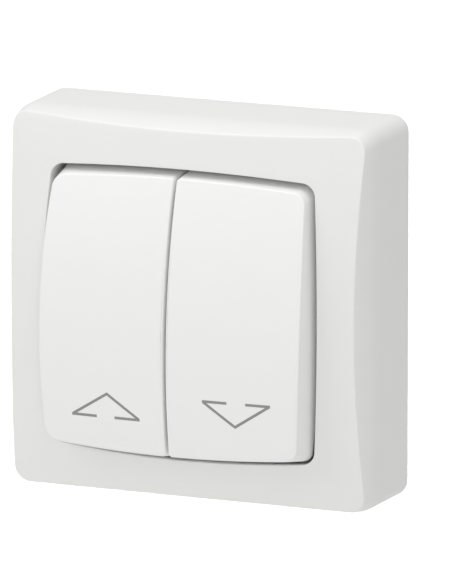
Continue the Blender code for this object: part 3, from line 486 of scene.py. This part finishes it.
# %% The keys' own sizes
AXLE_OUT = 22.0 * MM
KEY_TILT = math.radians(4.37)
KEY_SIDE_GAP = 1.5 * MM
KEY_END_GAP = 1.685 * MM
KEY_SIDE_REACH = OPENING_REACH - KEY_SIDE_GAP
KEY_END_REACH = OPENING_REACH - KEY_END_GAP
KEY_SIDE_RADIUS = 347.0 * MM
KEY_END_RADIUS = 309.0 * MM
KEY_CORNER = 3.0 * MM
KEY_GROOVE_CORNER = 0.8 * MM
KEY_GROOVE = 0.7 * MM
KEY_GROOVE_SHIFT = -0.3 * MM
KEY_SIDE_FLARE = 0.6 * MM
KEY_END_FLARE = 1.2 * MM
KEY_FOOT_CORNER = 2.1 * MM
KEY_CREST_OUT = 33.265 * MM
KEY_CROWN_ACROSS = 264.5 * MM
KEY_CROWN_ALONG = 116.0 * MM
KEY_EDGE_ROUND = 0.35 * MM
KEY_WALL = 1.6 * MM
KEY_RIM_BEHIND_AXLE = 0.5 * MM
KEY_RIM_OUT = AXLE_OUT - KEY_RIM_BEHIND_AXLE
KEY_EDGE_DROP = 5.1 * MM
KEY_EDGE_OUT = KEY_CREST_OUT - KEY_EDGE_DROP
KEY_MIDDLE_Z = -(KEY_EDGE_OUT - AXLE_OUT) * math.sin(KEY_TILT)


def key_out(x, z):
    """The crowned face while the keys stand upright."""
    return KEY_CREST_OUT - x * x / (2 * KEY_CROWN_ACROSS) - (z - KEY_MIDDLE_Z) ** 2 / (2 * KEY_CROWN_ALONG)


def key_inside_out(x, z):
    """The inner side of the face, one wall behind it."""
    return key_out(x, z) - KEY_WALL


print("the keys' faces reach", round(key_out(0, KEY_MIDDLE_Z) / MM, 2), "mm out while upright")

# %% A key's outline
LEAST_CORNER = 0.25 * MM


def key_outline(side, inset, foot=False):
    """One key's outline: three pillow sides and a straight one at the groove. The foot is wider."""
    across, along, corner = 0.0, 0.0, KEY_CORNER
    if foot:
        across, along, corner = KEY_SIDE_FLARE, KEY_END_FLARE, KEY_FOOT_CORNER
    outer = (KEY_SIDE_REACH + across - inset, KEY_SIDE_RADIUS + across - inset)
    groove = (-side * KEY_GROOVE_SHIFT - KEY_GROOVE / 2 - inset, STRAIGHT)
    end = (KEY_END_REACH + along - inset, KEY_END_RADIUS + along - inset)
    wide = max(corner - inset, LEAST_CORNER)
    tight = max(KEY_GROOVE_CORNER - inset, LEAST_CORNER)
    if side > 0:
        points = outline([outer, end, groove, end], [wide, tight, tight, wide])
    else:
        points = outline([groove, end, outer, end], [tight, wide, wide, tight])
    return points if foot else [p + 1j * KEY_MIDDLE_Z for p in points]


heights = [p.imag for p in key_outline(1, 0.0)]
print("a key's face is", round((max(heights) - min(heights)) / MM, 2), "mm high")

# %% [markdown]
# ### One key
#
# A key is built as the frame is, from the face's edge over the round and down the skirt, then up again on the
# inside. Both faces are closed with a grid that is filled into the ring and lifted onto the crown. The turn
# about the axle comes last, because all measures are simpler while the key stands upright.

# %% Close a face and turn a key
def fill_face(piece, height):
    """Close the selected ring with a grid of quads that lies on the crown."""
    bpy.ops.mesh.select_mode(type="VERT")
    shape = bmesh.from_edit_mesh(piece.data)
    order = shape.verts.layers.int["order"]
    edge_of_ring = [v for v in shape.verts if v.select]
    corner = next(v for v in edge_of_ring if v[order] == SIDE_STEPS + CORNER_STEPS // 2)
    shape.select_history.clear()
    shape.select_history.add(corner)
    bpy.ops.mesh.fill_grid(span=SIDE_STEPS + CORNER_STEPS)
    shape = bmesh.from_edit_mesh(piece.data)
    for vertex in shape.verts:
        if vertex.select:
            vertex.co.y = -height(vertex.co.x, vertex.co.z)
    bmesh.update_edit_mesh(piece.data)
    bpy.ops.mesh.select_mode(type="EDGE")


def turn_to_rest(piece):
    """Turn the mesh about the axle by the keys' tilt at rest, lower end out."""
    only(piece)
    bpy.ops.object.mode_set(mode="EDIT")
    bpy.ops.mesh.select_all(action="SELECT")
    bpy.ops.transform.rotate(value=KEY_TILT, orient_axis="X", center_override=(0.0, -AXLE_OUT, 0.0))
    bpy.ops.object.mode_set(mode="OBJECT")


print("the keys rest turned by", round(math.degrees(KEY_TILT), 2), "degrees")

# %% Model the keys
def make_key(name, side):
    """The hollow cap of one key, turned to its rest pose. Side is -1 for the left key and 1 for the right."""
    face, rim = key_outline(side, KEY_EDGE_ROUND), key_outline(side, 0.0)
    inner = key_outline(side, KEY_WALL)
    below = ring(rim, lambda x, z: key_out(x, z) - KEY_EDGE_ROUND)
    rings = rounded(ring(face, key_out), ring(rim, key_out), below, ROUND_STEPS)
    rings.append(ring(key_outline(side, 0.0, foot=True), KEY_RIM_OUT))
    rings.append(ring(key_outline(side, KEY_WALL, foot=True), KEY_RIM_OUT))
    rings.append(ring(inner, key_inside_out))
    piece = first_ring(name, rings[0])
    fill_face(piece, key_out)
    bpy.ops.mesh.select_all(action="DESELECT")
    bpy.ops.mesh.select_non_manifold()
    for places in rings[1:]:
        next_ring(piece, places)
    fill_face(piece, key_inside_out)
    finish_shape(piece)
    turn_to_rest(piece)
    return piece


key_caps = {}
for name, side in (("up", -1), ("down", 1)):
    key_caps[name] = make_key(f"{name}_key_cap", side)
    tell(key_caps[name], f"{name}_key")

# %% [markdown]
# ### Inside a key
#
# Under its face each key has two thin ribs that rest on the rocker's plate and two legs with hooks that snap
# round its ends. Each is a cube brought to its size with its edges taken off, then united with the cap by a
# boolean. A window in the wall by the groove clears the ear that holds the axle, and is cut out of the cap.

# %% Ribs, hooked legs and axle window
PLATE_BEFORE_AXLE = 4.0 * MM
PLATE_OUT = AXLE_OUT + PLATE_BEFORE_AXLE
PLATE_THICKNESS = 1.6 * MM
PLATE_HALF = 11.0 * MM
POLE_X = 11.5 * MM
FIT = 0.3 * MM
PAD_Z = 8.0 * MM
PAD_THICKNESS = 1.2 * MM
PAD_FROM_GROOVE = 4.2 * MM
PAD_FROM_SIDE = 2.8 * MM
CLIP_HALF_WIDTH = 3.0 * MM
CLIP_THICKNESS = 1.4 * MM
CLIP_HOOK = 0.8 * MM
WINDOW_HALF = 3.6 * MM
INNER_EDGE_ROUND = 0.15 * MM


def make_pad(side, way, near, far):
    """A thin rib that rests on the rocker's plate, between the plate's near and far edges."""
    z = way * PAD_Z
    top = key_out(far, z) - KEY_WALL / 2
    return add_block("pad", (side * (near + PAD_FROM_GROOVE), side * (far - PAD_FROM_SIDE)),
                     (PLATE_OUT + PLATE_THICKNESS + FIT, top),
                     (z - PAD_THICKNESS / 2, z + PAD_THICKNESS / 2))


def make_leg(side, way):
    """A leg with a hook at its foot, which snaps round the plate's end."""
    z = way * (PLATE_HALF + FIT + CLIP_THICKNESS / 2)
    across = (side * POLE_X - CLIP_HALF_WIDTH, side * POLE_X + CLIP_HALF_WIDTH)
    top = key_out(POLE_X + CLIP_HALF_WIDTH, z) - KEY_WALL / 2
    foot = PLATE_OUT - FIT - CLIP_THICKNESS
    leg = add_block("leg", across, (foot, top), (z - CLIP_THICKNESS / 2, z + CLIP_THICKNESS / 2))
    hook = add_block("hook", across, (foot, PLATE_OUT - FIT),
                     (z, z - way * (CLIP_THICKNESS / 2 + CLIP_HOOK)))
    combine(leg, hook, "UNION")
    return leg


def add_inside(cap, name, side):
    """Make ribs, legs and window upright, turn them with the key's tilt, then join or cut them."""
    low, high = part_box(f"{name}_tumbler")
    near, far = sorted((abs(low.x), abs(high.x)))
    for way in (-1, 1):
        for block in (make_pad(side, way, near, far), make_leg(side, way)):
            bevel_all(block, INNER_EDGE_ROUND)
            turn_to_rest(block)
            combine(cap, block, "UNION")
    window = add_block("window", (-side * KEY_WALL, side * 2 * KEY_WALL),
                       (KEY_RIM_OUT - KEY_WALL, AXLE_OUT + WINDOW_HALF), (-WINDOW_HALF, WINDOW_HALF))
    turn_to_rest(window)
    combine(cap, window, "DIFFERENCE")
    shade(cap)


for name, side in (("up", -1), ("down", 1)):
    add_inside(key_caps[name], name, side)
    print(name, "key with its ribs and legs:", len(key_caps[name].data.polygons), "faces")

# %% [markdown]
# ## The arrows
#
# Each key carries a small printed sign: the outline of a flat triangle whose base is broken in the middle.
# The print is a film a few hundredths of a millimetre thick. A triangle is added and inset by the line's
# width, and its middle is removed. Cuts free the gap in the base and take off the two sharp tips, which a
# printed line of this kind doesn't have. Cuts across it at short steps let it follow the crowned face.

# %% Cuts for the arrows
ARROW_LINE = 0.55 * MM
ARROW_HEIGHT = 5.5 * MM
ARROW_GAP = 4.05 * MM
ARROW_STEP = 0.6 * MM


def remove_gap(piece, middle, base_z):
    """Cut the base line at both ends of its gap and delete what lies between."""
    for side in (-1, 1):
        bpy.ops.mesh.select_all(action="SELECT")
        bpy.ops.mesh.bisect(plane_co=(middle + side * ARROW_GAP / 2, 0.0, 0.0), plane_no=(1.0, 0.0, 0.0))
    bpy.ops.mesh.select_mode(type="FACE")
    bpy.ops.mesh.select_all(action="DESELECT")
    shape = bmesh.from_edit_mesh(piece.data)
    for face in shape.faces:
        place = face.calc_center_median()
        if abs(place.x - middle) < ARROW_GAP / 2 and abs(place.z - base_z) < ARROW_LINE:
            face.select = True
    bmesh.update_edit_mesh(piece.data)
    bpy.ops.mesh.delete(type="FACE")


def cut_tips(middle, half_width):
    """Take off what lies further out than the sign's own half width."""
    for side in (-1, 1):
        bpy.ops.mesh.select_all(action="SELECT")
        bpy.ops.mesh.bisect(plane_co=(middle + side * half_width, 0.0, 0.0), plane_no=(side, 0.0, 0.0),
                            clear_outer=True)


def cut_across(middle, half_width):
    """Cuts at short and even steps, so that the film can bend with the crown."""
    strips = round(2 * half_width / ARROW_STEP)
    for k in range(1, strips):
        bpy.ops.mesh.select_all(action="SELECT")
        bpy.ops.mesh.bisect(plane_co=(middle - half_width + 2 * half_width * k / strips, 0.0, 0.0),
                            plane_no=(1.0, 0.0, 0.0))


print("cuts across a sign every", round(ARROW_STEP / MM, 2), "mm or so")

# %% Arrows
ARROW_PROUD = 0.02 * MM
ARROW_DEPTH = 0.06 * MM


def lay_on_crown(piece):
    """Put the flat sign on the crowned face, give the film its thickness, and turn it with the key."""
    for vertex in piece.data.vertices:
        vertex.co.y = -key_out(vertex.co.x, vertex.co.z) - ARROW_PROUD
    only(piece)
    bpy.ops.object.mode_set(mode="EDIT")
    bpy.ops.mesh.select_all(action="SELECT")
    bpy.ops.mesh.normals_make_consistent(inside=False)
    bpy.ops.mesh.extrude_region_move(TRANSFORM_OT_translate={"value": (0.0, ARROW_DEPTH, 0.0)})
    bpy.ops.mesh.select_all(action="SELECT")
    bpy.ops.mesh.normals_make_consistent(inside=False)
    bpy.ops.object.mode_set(mode="OBJECT")
    turn_to_rest(piece)


def make_arrow(name, middle, half_width, lean, base_z, way):
    """A sign whose tip lies up (way 1) or down (way -1) from its base, and leans to the side a little."""
    sharp_half = half_width / (1 - ARROW_LINE / ARROW_HEIGHT)
    bpy.ops.object.select_all(action="DESELECT")
    bpy.ops.mesh.primitive_circle_add(vertices=3, fill_type="NGON")
    piece = bpy.context.object
    piece.name = piece.data.name = name
    corners = ((middle - sharp_half, base_z), (middle + sharp_half, base_z),
               (middle + lean, base_z + way * ARROW_HEIGHT))
    for vertex, (x, z) in zip(piece.data.vertices, corners):
        vertex.co = (x, 0.0, z)
    bpy.ops.object.mode_set(mode="EDIT")
    bpy.ops.mesh.select_mode(type="FACE")
    bpy.ops.mesh.select_all(action="SELECT")
    bpy.ops.mesh.inset(thickness=ARROW_LINE)
    bpy.ops.mesh.delete(type="FACE")
    remove_gap(piece, middle, base_z)
    cut_tips(middle, half_width)
    cut_across(middle, half_width)
    bpy.ops.object.mode_set(mode="OBJECT")
    lay_on_crown(piece)
    print(name, "faces:", len(piece.data.polygons))
    return piece


arrows = {
    "up": make_arrow("up_arrow", middle=-13.69 * MM, half_width=7.7 * MM, lean=0.45 * MM,
                     base_z=-22.2 * MM, way=1),
    "down": make_arrow("down_arrow", middle=15.4 * MM, half_width=7.35 * MM, lean=-0.32 * MM,
                       base_z=-16.4 * MM, way=-1),
}

# %% [markdown]
# ## Surfaces
#
# Every piece is a moulding or a metal pressing, so two effects do most of the work. A moulded surface has a
# fine even grain, a slow change of gloss and a trace of cloudiness. A drawn or stamped metal has streaks
# along one direction and a dull film in places. Each effect is a node group with named inputs, built once and
# used by every material with its own values.

# %% Helpers for node groups
BUMP_DISTANCE = 0.02 * MM


def add_socket(group, name, kind, direction, value=None):
    socket = group.interface.new_socket(name=name, in_out=direction, socket_type=kind)
    if value is not None:
        socket.default_value = value


def new_group(name, inputs, outputs):
    """A shader node group with named inputs and outputs, and the two nodes at its ends."""
    group = bpy.data.node_groups.new(name, "ShaderNodeTree")
    for label, kind, value in inputs:
        add_socket(group, label, kind, "INPUT", value)
    for label, kind in outputs:
        add_socket(group, label, kind, "OUTPUT")
    return group, group.nodes.new("NodeGroupInput"), group.nodes.new("NodeGroupOutput")


def math_node(tree, operation, a, b):
    """A maths node whose two inputs are numbers or sockets."""
    node = tree.nodes.new("ShaderNodeMath")
    node.operation = operation
    for socket, value in zip(node.inputs, (a, b)):
        if isinstance(value, (int, float)):
            socket.default_value = value
        else:
            tree.links.new(value, socket)
    return node.outputs[0]


def noise_node(tree, place, scale, detail=2.0):
    """Noise over a place on the object. The scale is a number or a socket."""
    node = tree.nodes.new("ShaderNodeTexNoise")
    node.inputs["Detail"].default_value = detail
    tree.links.new(place, node.inputs["Vector"])
    if isinstance(scale, (int, float)):
        node.inputs["Scale"].default_value = scale
    else:
        tree.links.new(scale, node.inputs["Scale"])
    return node.outputs["Fac"]


def around_zero(tree, noise):
    """Noise runs from 0 to 1 about a half. This brings its middle to 0."""
    return math_node(tree, "SUBTRACT", noise, 0.5)


def add_bump(group, height, strength, given):
    """Fine relief: a height and a strength become the group's normal."""
    bump = group.nodes.new("ShaderNodeBump")
    bump.inputs["Distance"].default_value = BUMP_DISTANCE
    group.links.new(strength, bump.inputs["Strength"])
    group.links.new(height, bump.inputs["Height"])
    group.links.new(bump.outputs["Normal"], given.inputs["Normal"])


print("relief of at most", BUMP_DISTANCE / MM, "mm")

# %% Node group for moulded plastic
CLOUD_SCALE = 90.0
GLOSS_SCALE = 260.0


def build_moulded_surface():
    group, taken, given = new_group(
        "moulded_surface",
        [("Colour", "NodeSocketColor", (0.87, 0.87, 0.86, 1.0)), ("Clouding", "NodeSocketFloat", 0.02),
         ("Roughness", "NodeSocketFloat", 0.35), ("Gloss change", "NodeSocketFloat", 0.08),
         ("Grain scale", "NodeSocketFloat", 4000.0), ("Grain depth", "NodeSocketFloat", 0.1)],
        [("Colour", "NodeSocketColor"), ("Roughness", "NodeSocketFloat"), ("Normal", "NodeSocketVector")],
    )
    links = group.links
    place = group.nodes.new("ShaderNodeTexCoord").outputs["Object"]
    cloud = noise_node(group, place, CLOUD_SCALE)
    gloss = noise_node(group, place, GLOSS_SCALE, detail=3.0)
    grain = noise_node(group, place, taken.outputs["Grain scale"], detail=1.0)
    dim = math_node(group, "MULTIPLY", around_zero(group, cloud), taken.outputs["Clouding"])
    colour = group.nodes.new("ShaderNodeHueSaturation")
    links.new(taken.outputs["Colour"], colour.inputs["Color"])
    links.new(math_node(group, "ADD", dim, 1.0), colour.inputs["Value"])
    links.new(colour.outputs["Color"], given.inputs["Colour"])
    change = math_node(group, "MULTIPLY", around_zero(group, gloss), taken.outputs["Gloss change"])
    links.new(math_node(group, "ADD", taken.outputs["Roughness"], change), given.inputs["Roughness"])
    add_bump(group, grain, taken.outputs["Grain depth"], given)
    return group


moulded_surface = build_moulded_surface()
print("group:", moulded_surface.name, "inputs:", [i.name for i in moulded_surface.interface.items_tree])

# %% [markdown]
# ### Worked metal
#
# A pin is drawn, a contact is stamped from strip, and a screw is turned: each keeps fine lines that run one
# way. Noise that is stretched along that direction gives them, and softer noise lays a dull film over parts
# of the surface, which also makes it rougher there.

# %% Node group for drawn and stamped metal
FILM_SCALE = 500.0
FILM_DULLING = 0.5
STREAK_GLOSS_CHANGE = 0.15


def build_worked_metal():
    group, taken, given = new_group(
        "worked_metal",
        [("Colour", "NodeSocketColor", (0.62, 0.62, 0.63, 1.0)),
         ("Film colour", "NodeSocketColor", (0.4, 0.4, 0.4, 1.0)),
         ("Film", "NodeSocketFloat", 0.2), ("Roughness", "NodeSocketFloat", 0.3),
         ("Streaks along", "NodeSocketVector", (2500.0, 2500.0, 150.0)),
         ("Streak depth", "NodeSocketFloat", 0.15)],
        [("Colour", "NodeSocketColor"), ("Roughness", "NodeSocketFloat"), ("Normal", "NodeSocketVector")],
    )
    links = group.links
    place = group.nodes.new("ShaderNodeTexCoord").outputs["Object"]
    stretch = group.nodes.new("ShaderNodeVectorMath")
    stretch.operation = "MULTIPLY"
    links.new(place, stretch.inputs[0])
    links.new(taken.outputs["Streaks along"], stretch.inputs[1])
    streaks = noise_node(group, stretch.outputs["Vector"], 1.0)
    patches = noise_node(group, place, FILM_SCALE, detail=3.0)
    film = math_node(group, "MULTIPLY", patches, taken.outputs["Film"])
    mix = group.nodes.new("ShaderNodeMix")
    mix.data_type = "RGBA"
    links.new(film, mix.inputs["Factor"])
    links.new(taken.outputs["Colour"], mix.inputs["A"])
    links.new(taken.outputs["Film colour"], mix.inputs["B"])
    links.new(mix.outputs["Result"], given.inputs["Colour"])
    duller = math_node(group, "MULTIPLY", film, FILM_DULLING)
    wave = math_node(group, "MULTIPLY", around_zero(group, streaks), STREAK_GLOSS_CHANGE)
    rough = math_node(group, "ADD", math_node(group, "ADD", taken.outputs["Roughness"], duller), wave)
    links.new(rough, given.inputs["Roughness"])
    add_bump(group, streaks, taken.outputs["Streak depth"], given)
    return group


worked_metal = build_worked_metal()
print("group:", worked_metal.name, "inputs:", [i.name for i in worked_metal.interface.items_tree])

# %% [markdown]
# ## Materials
#
# The white plastic of frame and keys is the same family: satin, nearly neutral, a trace warm in the shade.
# The tray and the support plate are matt, like the inside of a mould that was never polished. The
# mechanism is grey glass-filled plastic, the terminals are plain brass, the contacts are stamped brass, and
# the screws have a zinc coat. A material is one shader with a group before it.

# %% Make the materials
def dress(name, group, values, metallic=0.0):
    """A material with one group that feeds the shader."""
    material = bpy.data.materials.new(name)
    material.use_nodes = True
    tree = material.node_tree
    shader = tree.nodes["Principled BSDF"]
    shader.inputs["Metallic"].default_value = metallic
    effect = tree.nodes.new("ShaderNodeGroup")
    effect.node_tree = group
    for label, value in values.items():
        effect.inputs[label].default_value = value
    tree.links.new(effect.outputs["Colour"], shader.inputs["Base Color"])
    tree.links.new(effect.outputs["Roughness"], shader.inputs["Roughness"])
    tree.links.new(effect.outputs["Normal"], shader.inputs["Normal"])
    return material


def plastic(name, colour, roughness, clouding=0.02, gloss=0.08, grain=4000.0, depth=0.1):
    """A moulded plastic. Gloss and depth tell how much the gloss changes and how strong the grain is."""
    return dress(name, moulded_surface, {
        "Colour": (*colour, 1.0), "Roughness": roughness, "Clouding": clouding, "Gloss change": gloss,
        "Grain scale": grain, "Grain depth": depth,
    })


def metal(name, colour, film_colour, film, roughness, streaks, depth):
    """A worked metal. Film tells how much of the film colour lies on it."""
    return dress(name, worked_metal, {
        "Colour": (*colour, 1.0), "Film colour": (*film_colour, 1.0), "Film": film, "Roughness": roughness,
        "Streaks along": streaks, "Streak depth": depth,
    }, metallic=1.0)


ALONG_X, ALONG_Y, ALONG_Z = (150.0, 2500.0, 2500.0), (2500.0, 150.0, 2500.0), (2500.0, 2500.0, 150.0)
BRASS, TARNISH = (0.78, 0.58, 0.27), (0.42, 0.27, 0.12)
STEEL, ZINC_FILM = (0.66, 0.66, 0.67), (0.42, 0.43, 0.45)

materials = {
    "frame_plastic": plastic("frame_plastic", (0.915, 0.915, 0.902), 0.4),
    "key_plastic": plastic("key_plastic", (0.955, 0.955, 0.95), 0.44, gloss=0.06, depth=0.06),
    "tray_plastic": plastic("tray_plastic", (0.78, 0.78, 0.76), 0.55, clouding=0.05, grain=2500.0,
                            depth=0.35),
    "cover_plastic": plastic("cover_plastic", (0.84, 0.84, 0.82), 0.5, clouding=0.05, grain=2500.0,
                             depth=0.3),
    "mechanism_plastic": plastic("mechanism_plastic", (0.5, 0.51, 0.52), 0.5, clouding=0.25, gloss=0.2,
                                 grain=1800.0, depth=0.35),
    "tumbler_plastic": plastic("tumbler_plastic", (0.5, 0.51, 0.52), 0.4, clouding=0.12, gloss=0.15,
                               depth=0.15),
    "slider_plastic": plastic("slider_plastic", (0.76, 0.76, 0.73), 0.38, clouding=0.05, depth=0.1),
    "terminal_brass": metal("terminal_brass", BRASS, TARNISH, 0.25, 0.3, ALONG_X, 0.25),
    "contact_brass": metal("contact_brass", BRASS, TARNISH, 0.4, 0.34, ALONG_Z, 0.2),
    "screw_steel": metal("screw_steel", STEEL, ZINC_FILM, 0.35, 0.32, ALONG_Y, 0.2),
    "axle_steel": metal("axle_steel", STEEL, ZINC_FILM, 0.15, 0.25, ALONG_X, 0.3),
    "spring_steel": metal("spring_steel", STEEL, ZINC_FILM, 0.25, 0.28, ALONG_Y, 0.15),
    "arrow_print": plastic("arrow_print", (0.3, 0.3, 0.295), 0.5, clouding=0.06, depth=0.15),
}
print("materials:", len(materials))

# %% [markdown]
# ### Dress every piece
#
# The inner pieces keep the CAD model's meshes and get the material of the slot that the record names. The
# frame and the two keys stand in for their CAD nodes, and each new piece is told which body it rides on, so
# a key takes its arrow along when it rocks.

# %% Put the materials on
slot_of = {part["node"]: part["material_slot"] for part in frame["record"]["subparts"]}
for name, node in frame["nodes"].items():
    node.data.materials.clear()
    node.data.materials.append(materials[slot_of[name]])

frame_shell.data.materials.append(materials["frame_plastic"])
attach(frame_shell, "housing")
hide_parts("front_frame")
for name in ("up", "down"):
    cap, arrow = key_caps[name], arrows[name]
    cap.data.materials.append(materials["key_plastic"])
    arrow.data.materials.append(materials["arrow_print"])
    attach(cap, f"{name}_key")
    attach(arrow, f"{name}_key")
    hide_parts(f"{name}_key")
print("dressed nodes:", len(slot_of))

# %% [markdown]
# ## Floor and light
#
# The photograph has a plain white surround. A pale floor well below the switch fills the picture behind it
# without a hard shadow. The light is that of a studio: a dim room all round, a large softbox overhead with a
# smaller one to its right, and three more in front, to the left, to the right and beside the camera. So the
# front and the top are light and the right side falls off gently. One more lamp hangs behind the switch and
# lights the floor alone, as a photographer does to get a white ground.

# %% Floor
FLOOR_DROP = 0.3
FLOOR_SIZE = 30.0
FLOOR_COLOUR = (0.9, 0.9, 0.9, 1.0)
FLOOR_ROUGHNESS = 0.9

bpy.ops.object.select_all(action="DESELECT")
bpy.ops.mesh.primitive_plane_add(size=FLOOR_SIZE, location=(0.0, 0.0, cad_box[0][2] - FLOOR_DROP))
floor = bpy.context.object
floor.name = "floor"
bpy.ops.object.transform_apply(location=True, rotation=True, scale=True)
floor_paint = bpy.data.materials.new("floor_paint")
floor_paint.use_nodes = True
floor_shader = floor_paint.node_tree.nodes["Principled BSDF"]
floor_shader.inputs["Base Color"].default_value = FLOOR_COLOUR
floor_shader.inputs["Roughness"].default_value = FLOOR_ROUGHNESS
floor.data.materials.append(floor_paint)
print("the floor lies", round(-floor.data.vertices[0].co.z, 3), "m below the middle of the switch")

# %% Room and lamps
ROOM_COLOUR = (1.0, 1.0, 1.0, 1.0)
ROOM_STRENGTH = 0.4
MIDDLE = (0.0, -0.015, 0.0)

room = bpy.data.worlds.new("room")
room.use_nodes = True
room.node_tree.nodes["Background"].inputs["Color"].default_value = ROOM_COLOUR
room.node_tree.nodes["Background"].inputs["Strength"].default_value = ROOM_STRENGTH
bpy.context.scene.world = room
bpy.context.scene.view_settings.view_transform = "Standard"


def add_lamp(name, place, aim, size, power, spread=math.pi):
    """A rectangular lamp that faces the aim, with its power in watts."""
    data = bpy.data.lights.new(name, "AREA")
    data.shape = "RECTANGLE"
    data.size, data.size_y = size
    data.energy = power
    data.spread = spread
    lamp = bpy.data.objects.new(name, data)
    bpy.context.scene.collection.objects.link(lamp)
    lamp.location = place
    lamp.rotation_euler = (Vector(place) - Vector(aim)).to_track_quat("Z", "Y").to_euler()


add_lamp("overhead_softbox", (0.0, -0.2, 1.6), MIDDLE, (1.6, 1.6), 13.2)
add_lamp("overhead_right_softbox", (0.9, -0.3, 1.4), MIDDLE, (0.9, 0.9), 2.4)
add_lamp("left_softbox", (-1.0, -0.9, 0.8), MIDDLE, (1.0, 1.0), 4.9)
add_lamp("right_softbox", (0.9, -1.1, 0.9), MIDDLE, (0.4, 0.4), 0.9)
add_lamp("camera_softbox", (0.55, -1.3, 0.3), MIDDLE, (0.5, 0.5), 2.3)
add_lamp("ground_lamp", (-0.64, 1.5, 0.9), (-0.64, 1.5, 0.0), (0.9, 1.7), 4.4, spread=0.7)
print("lamps:", len(bpy.data.lights))
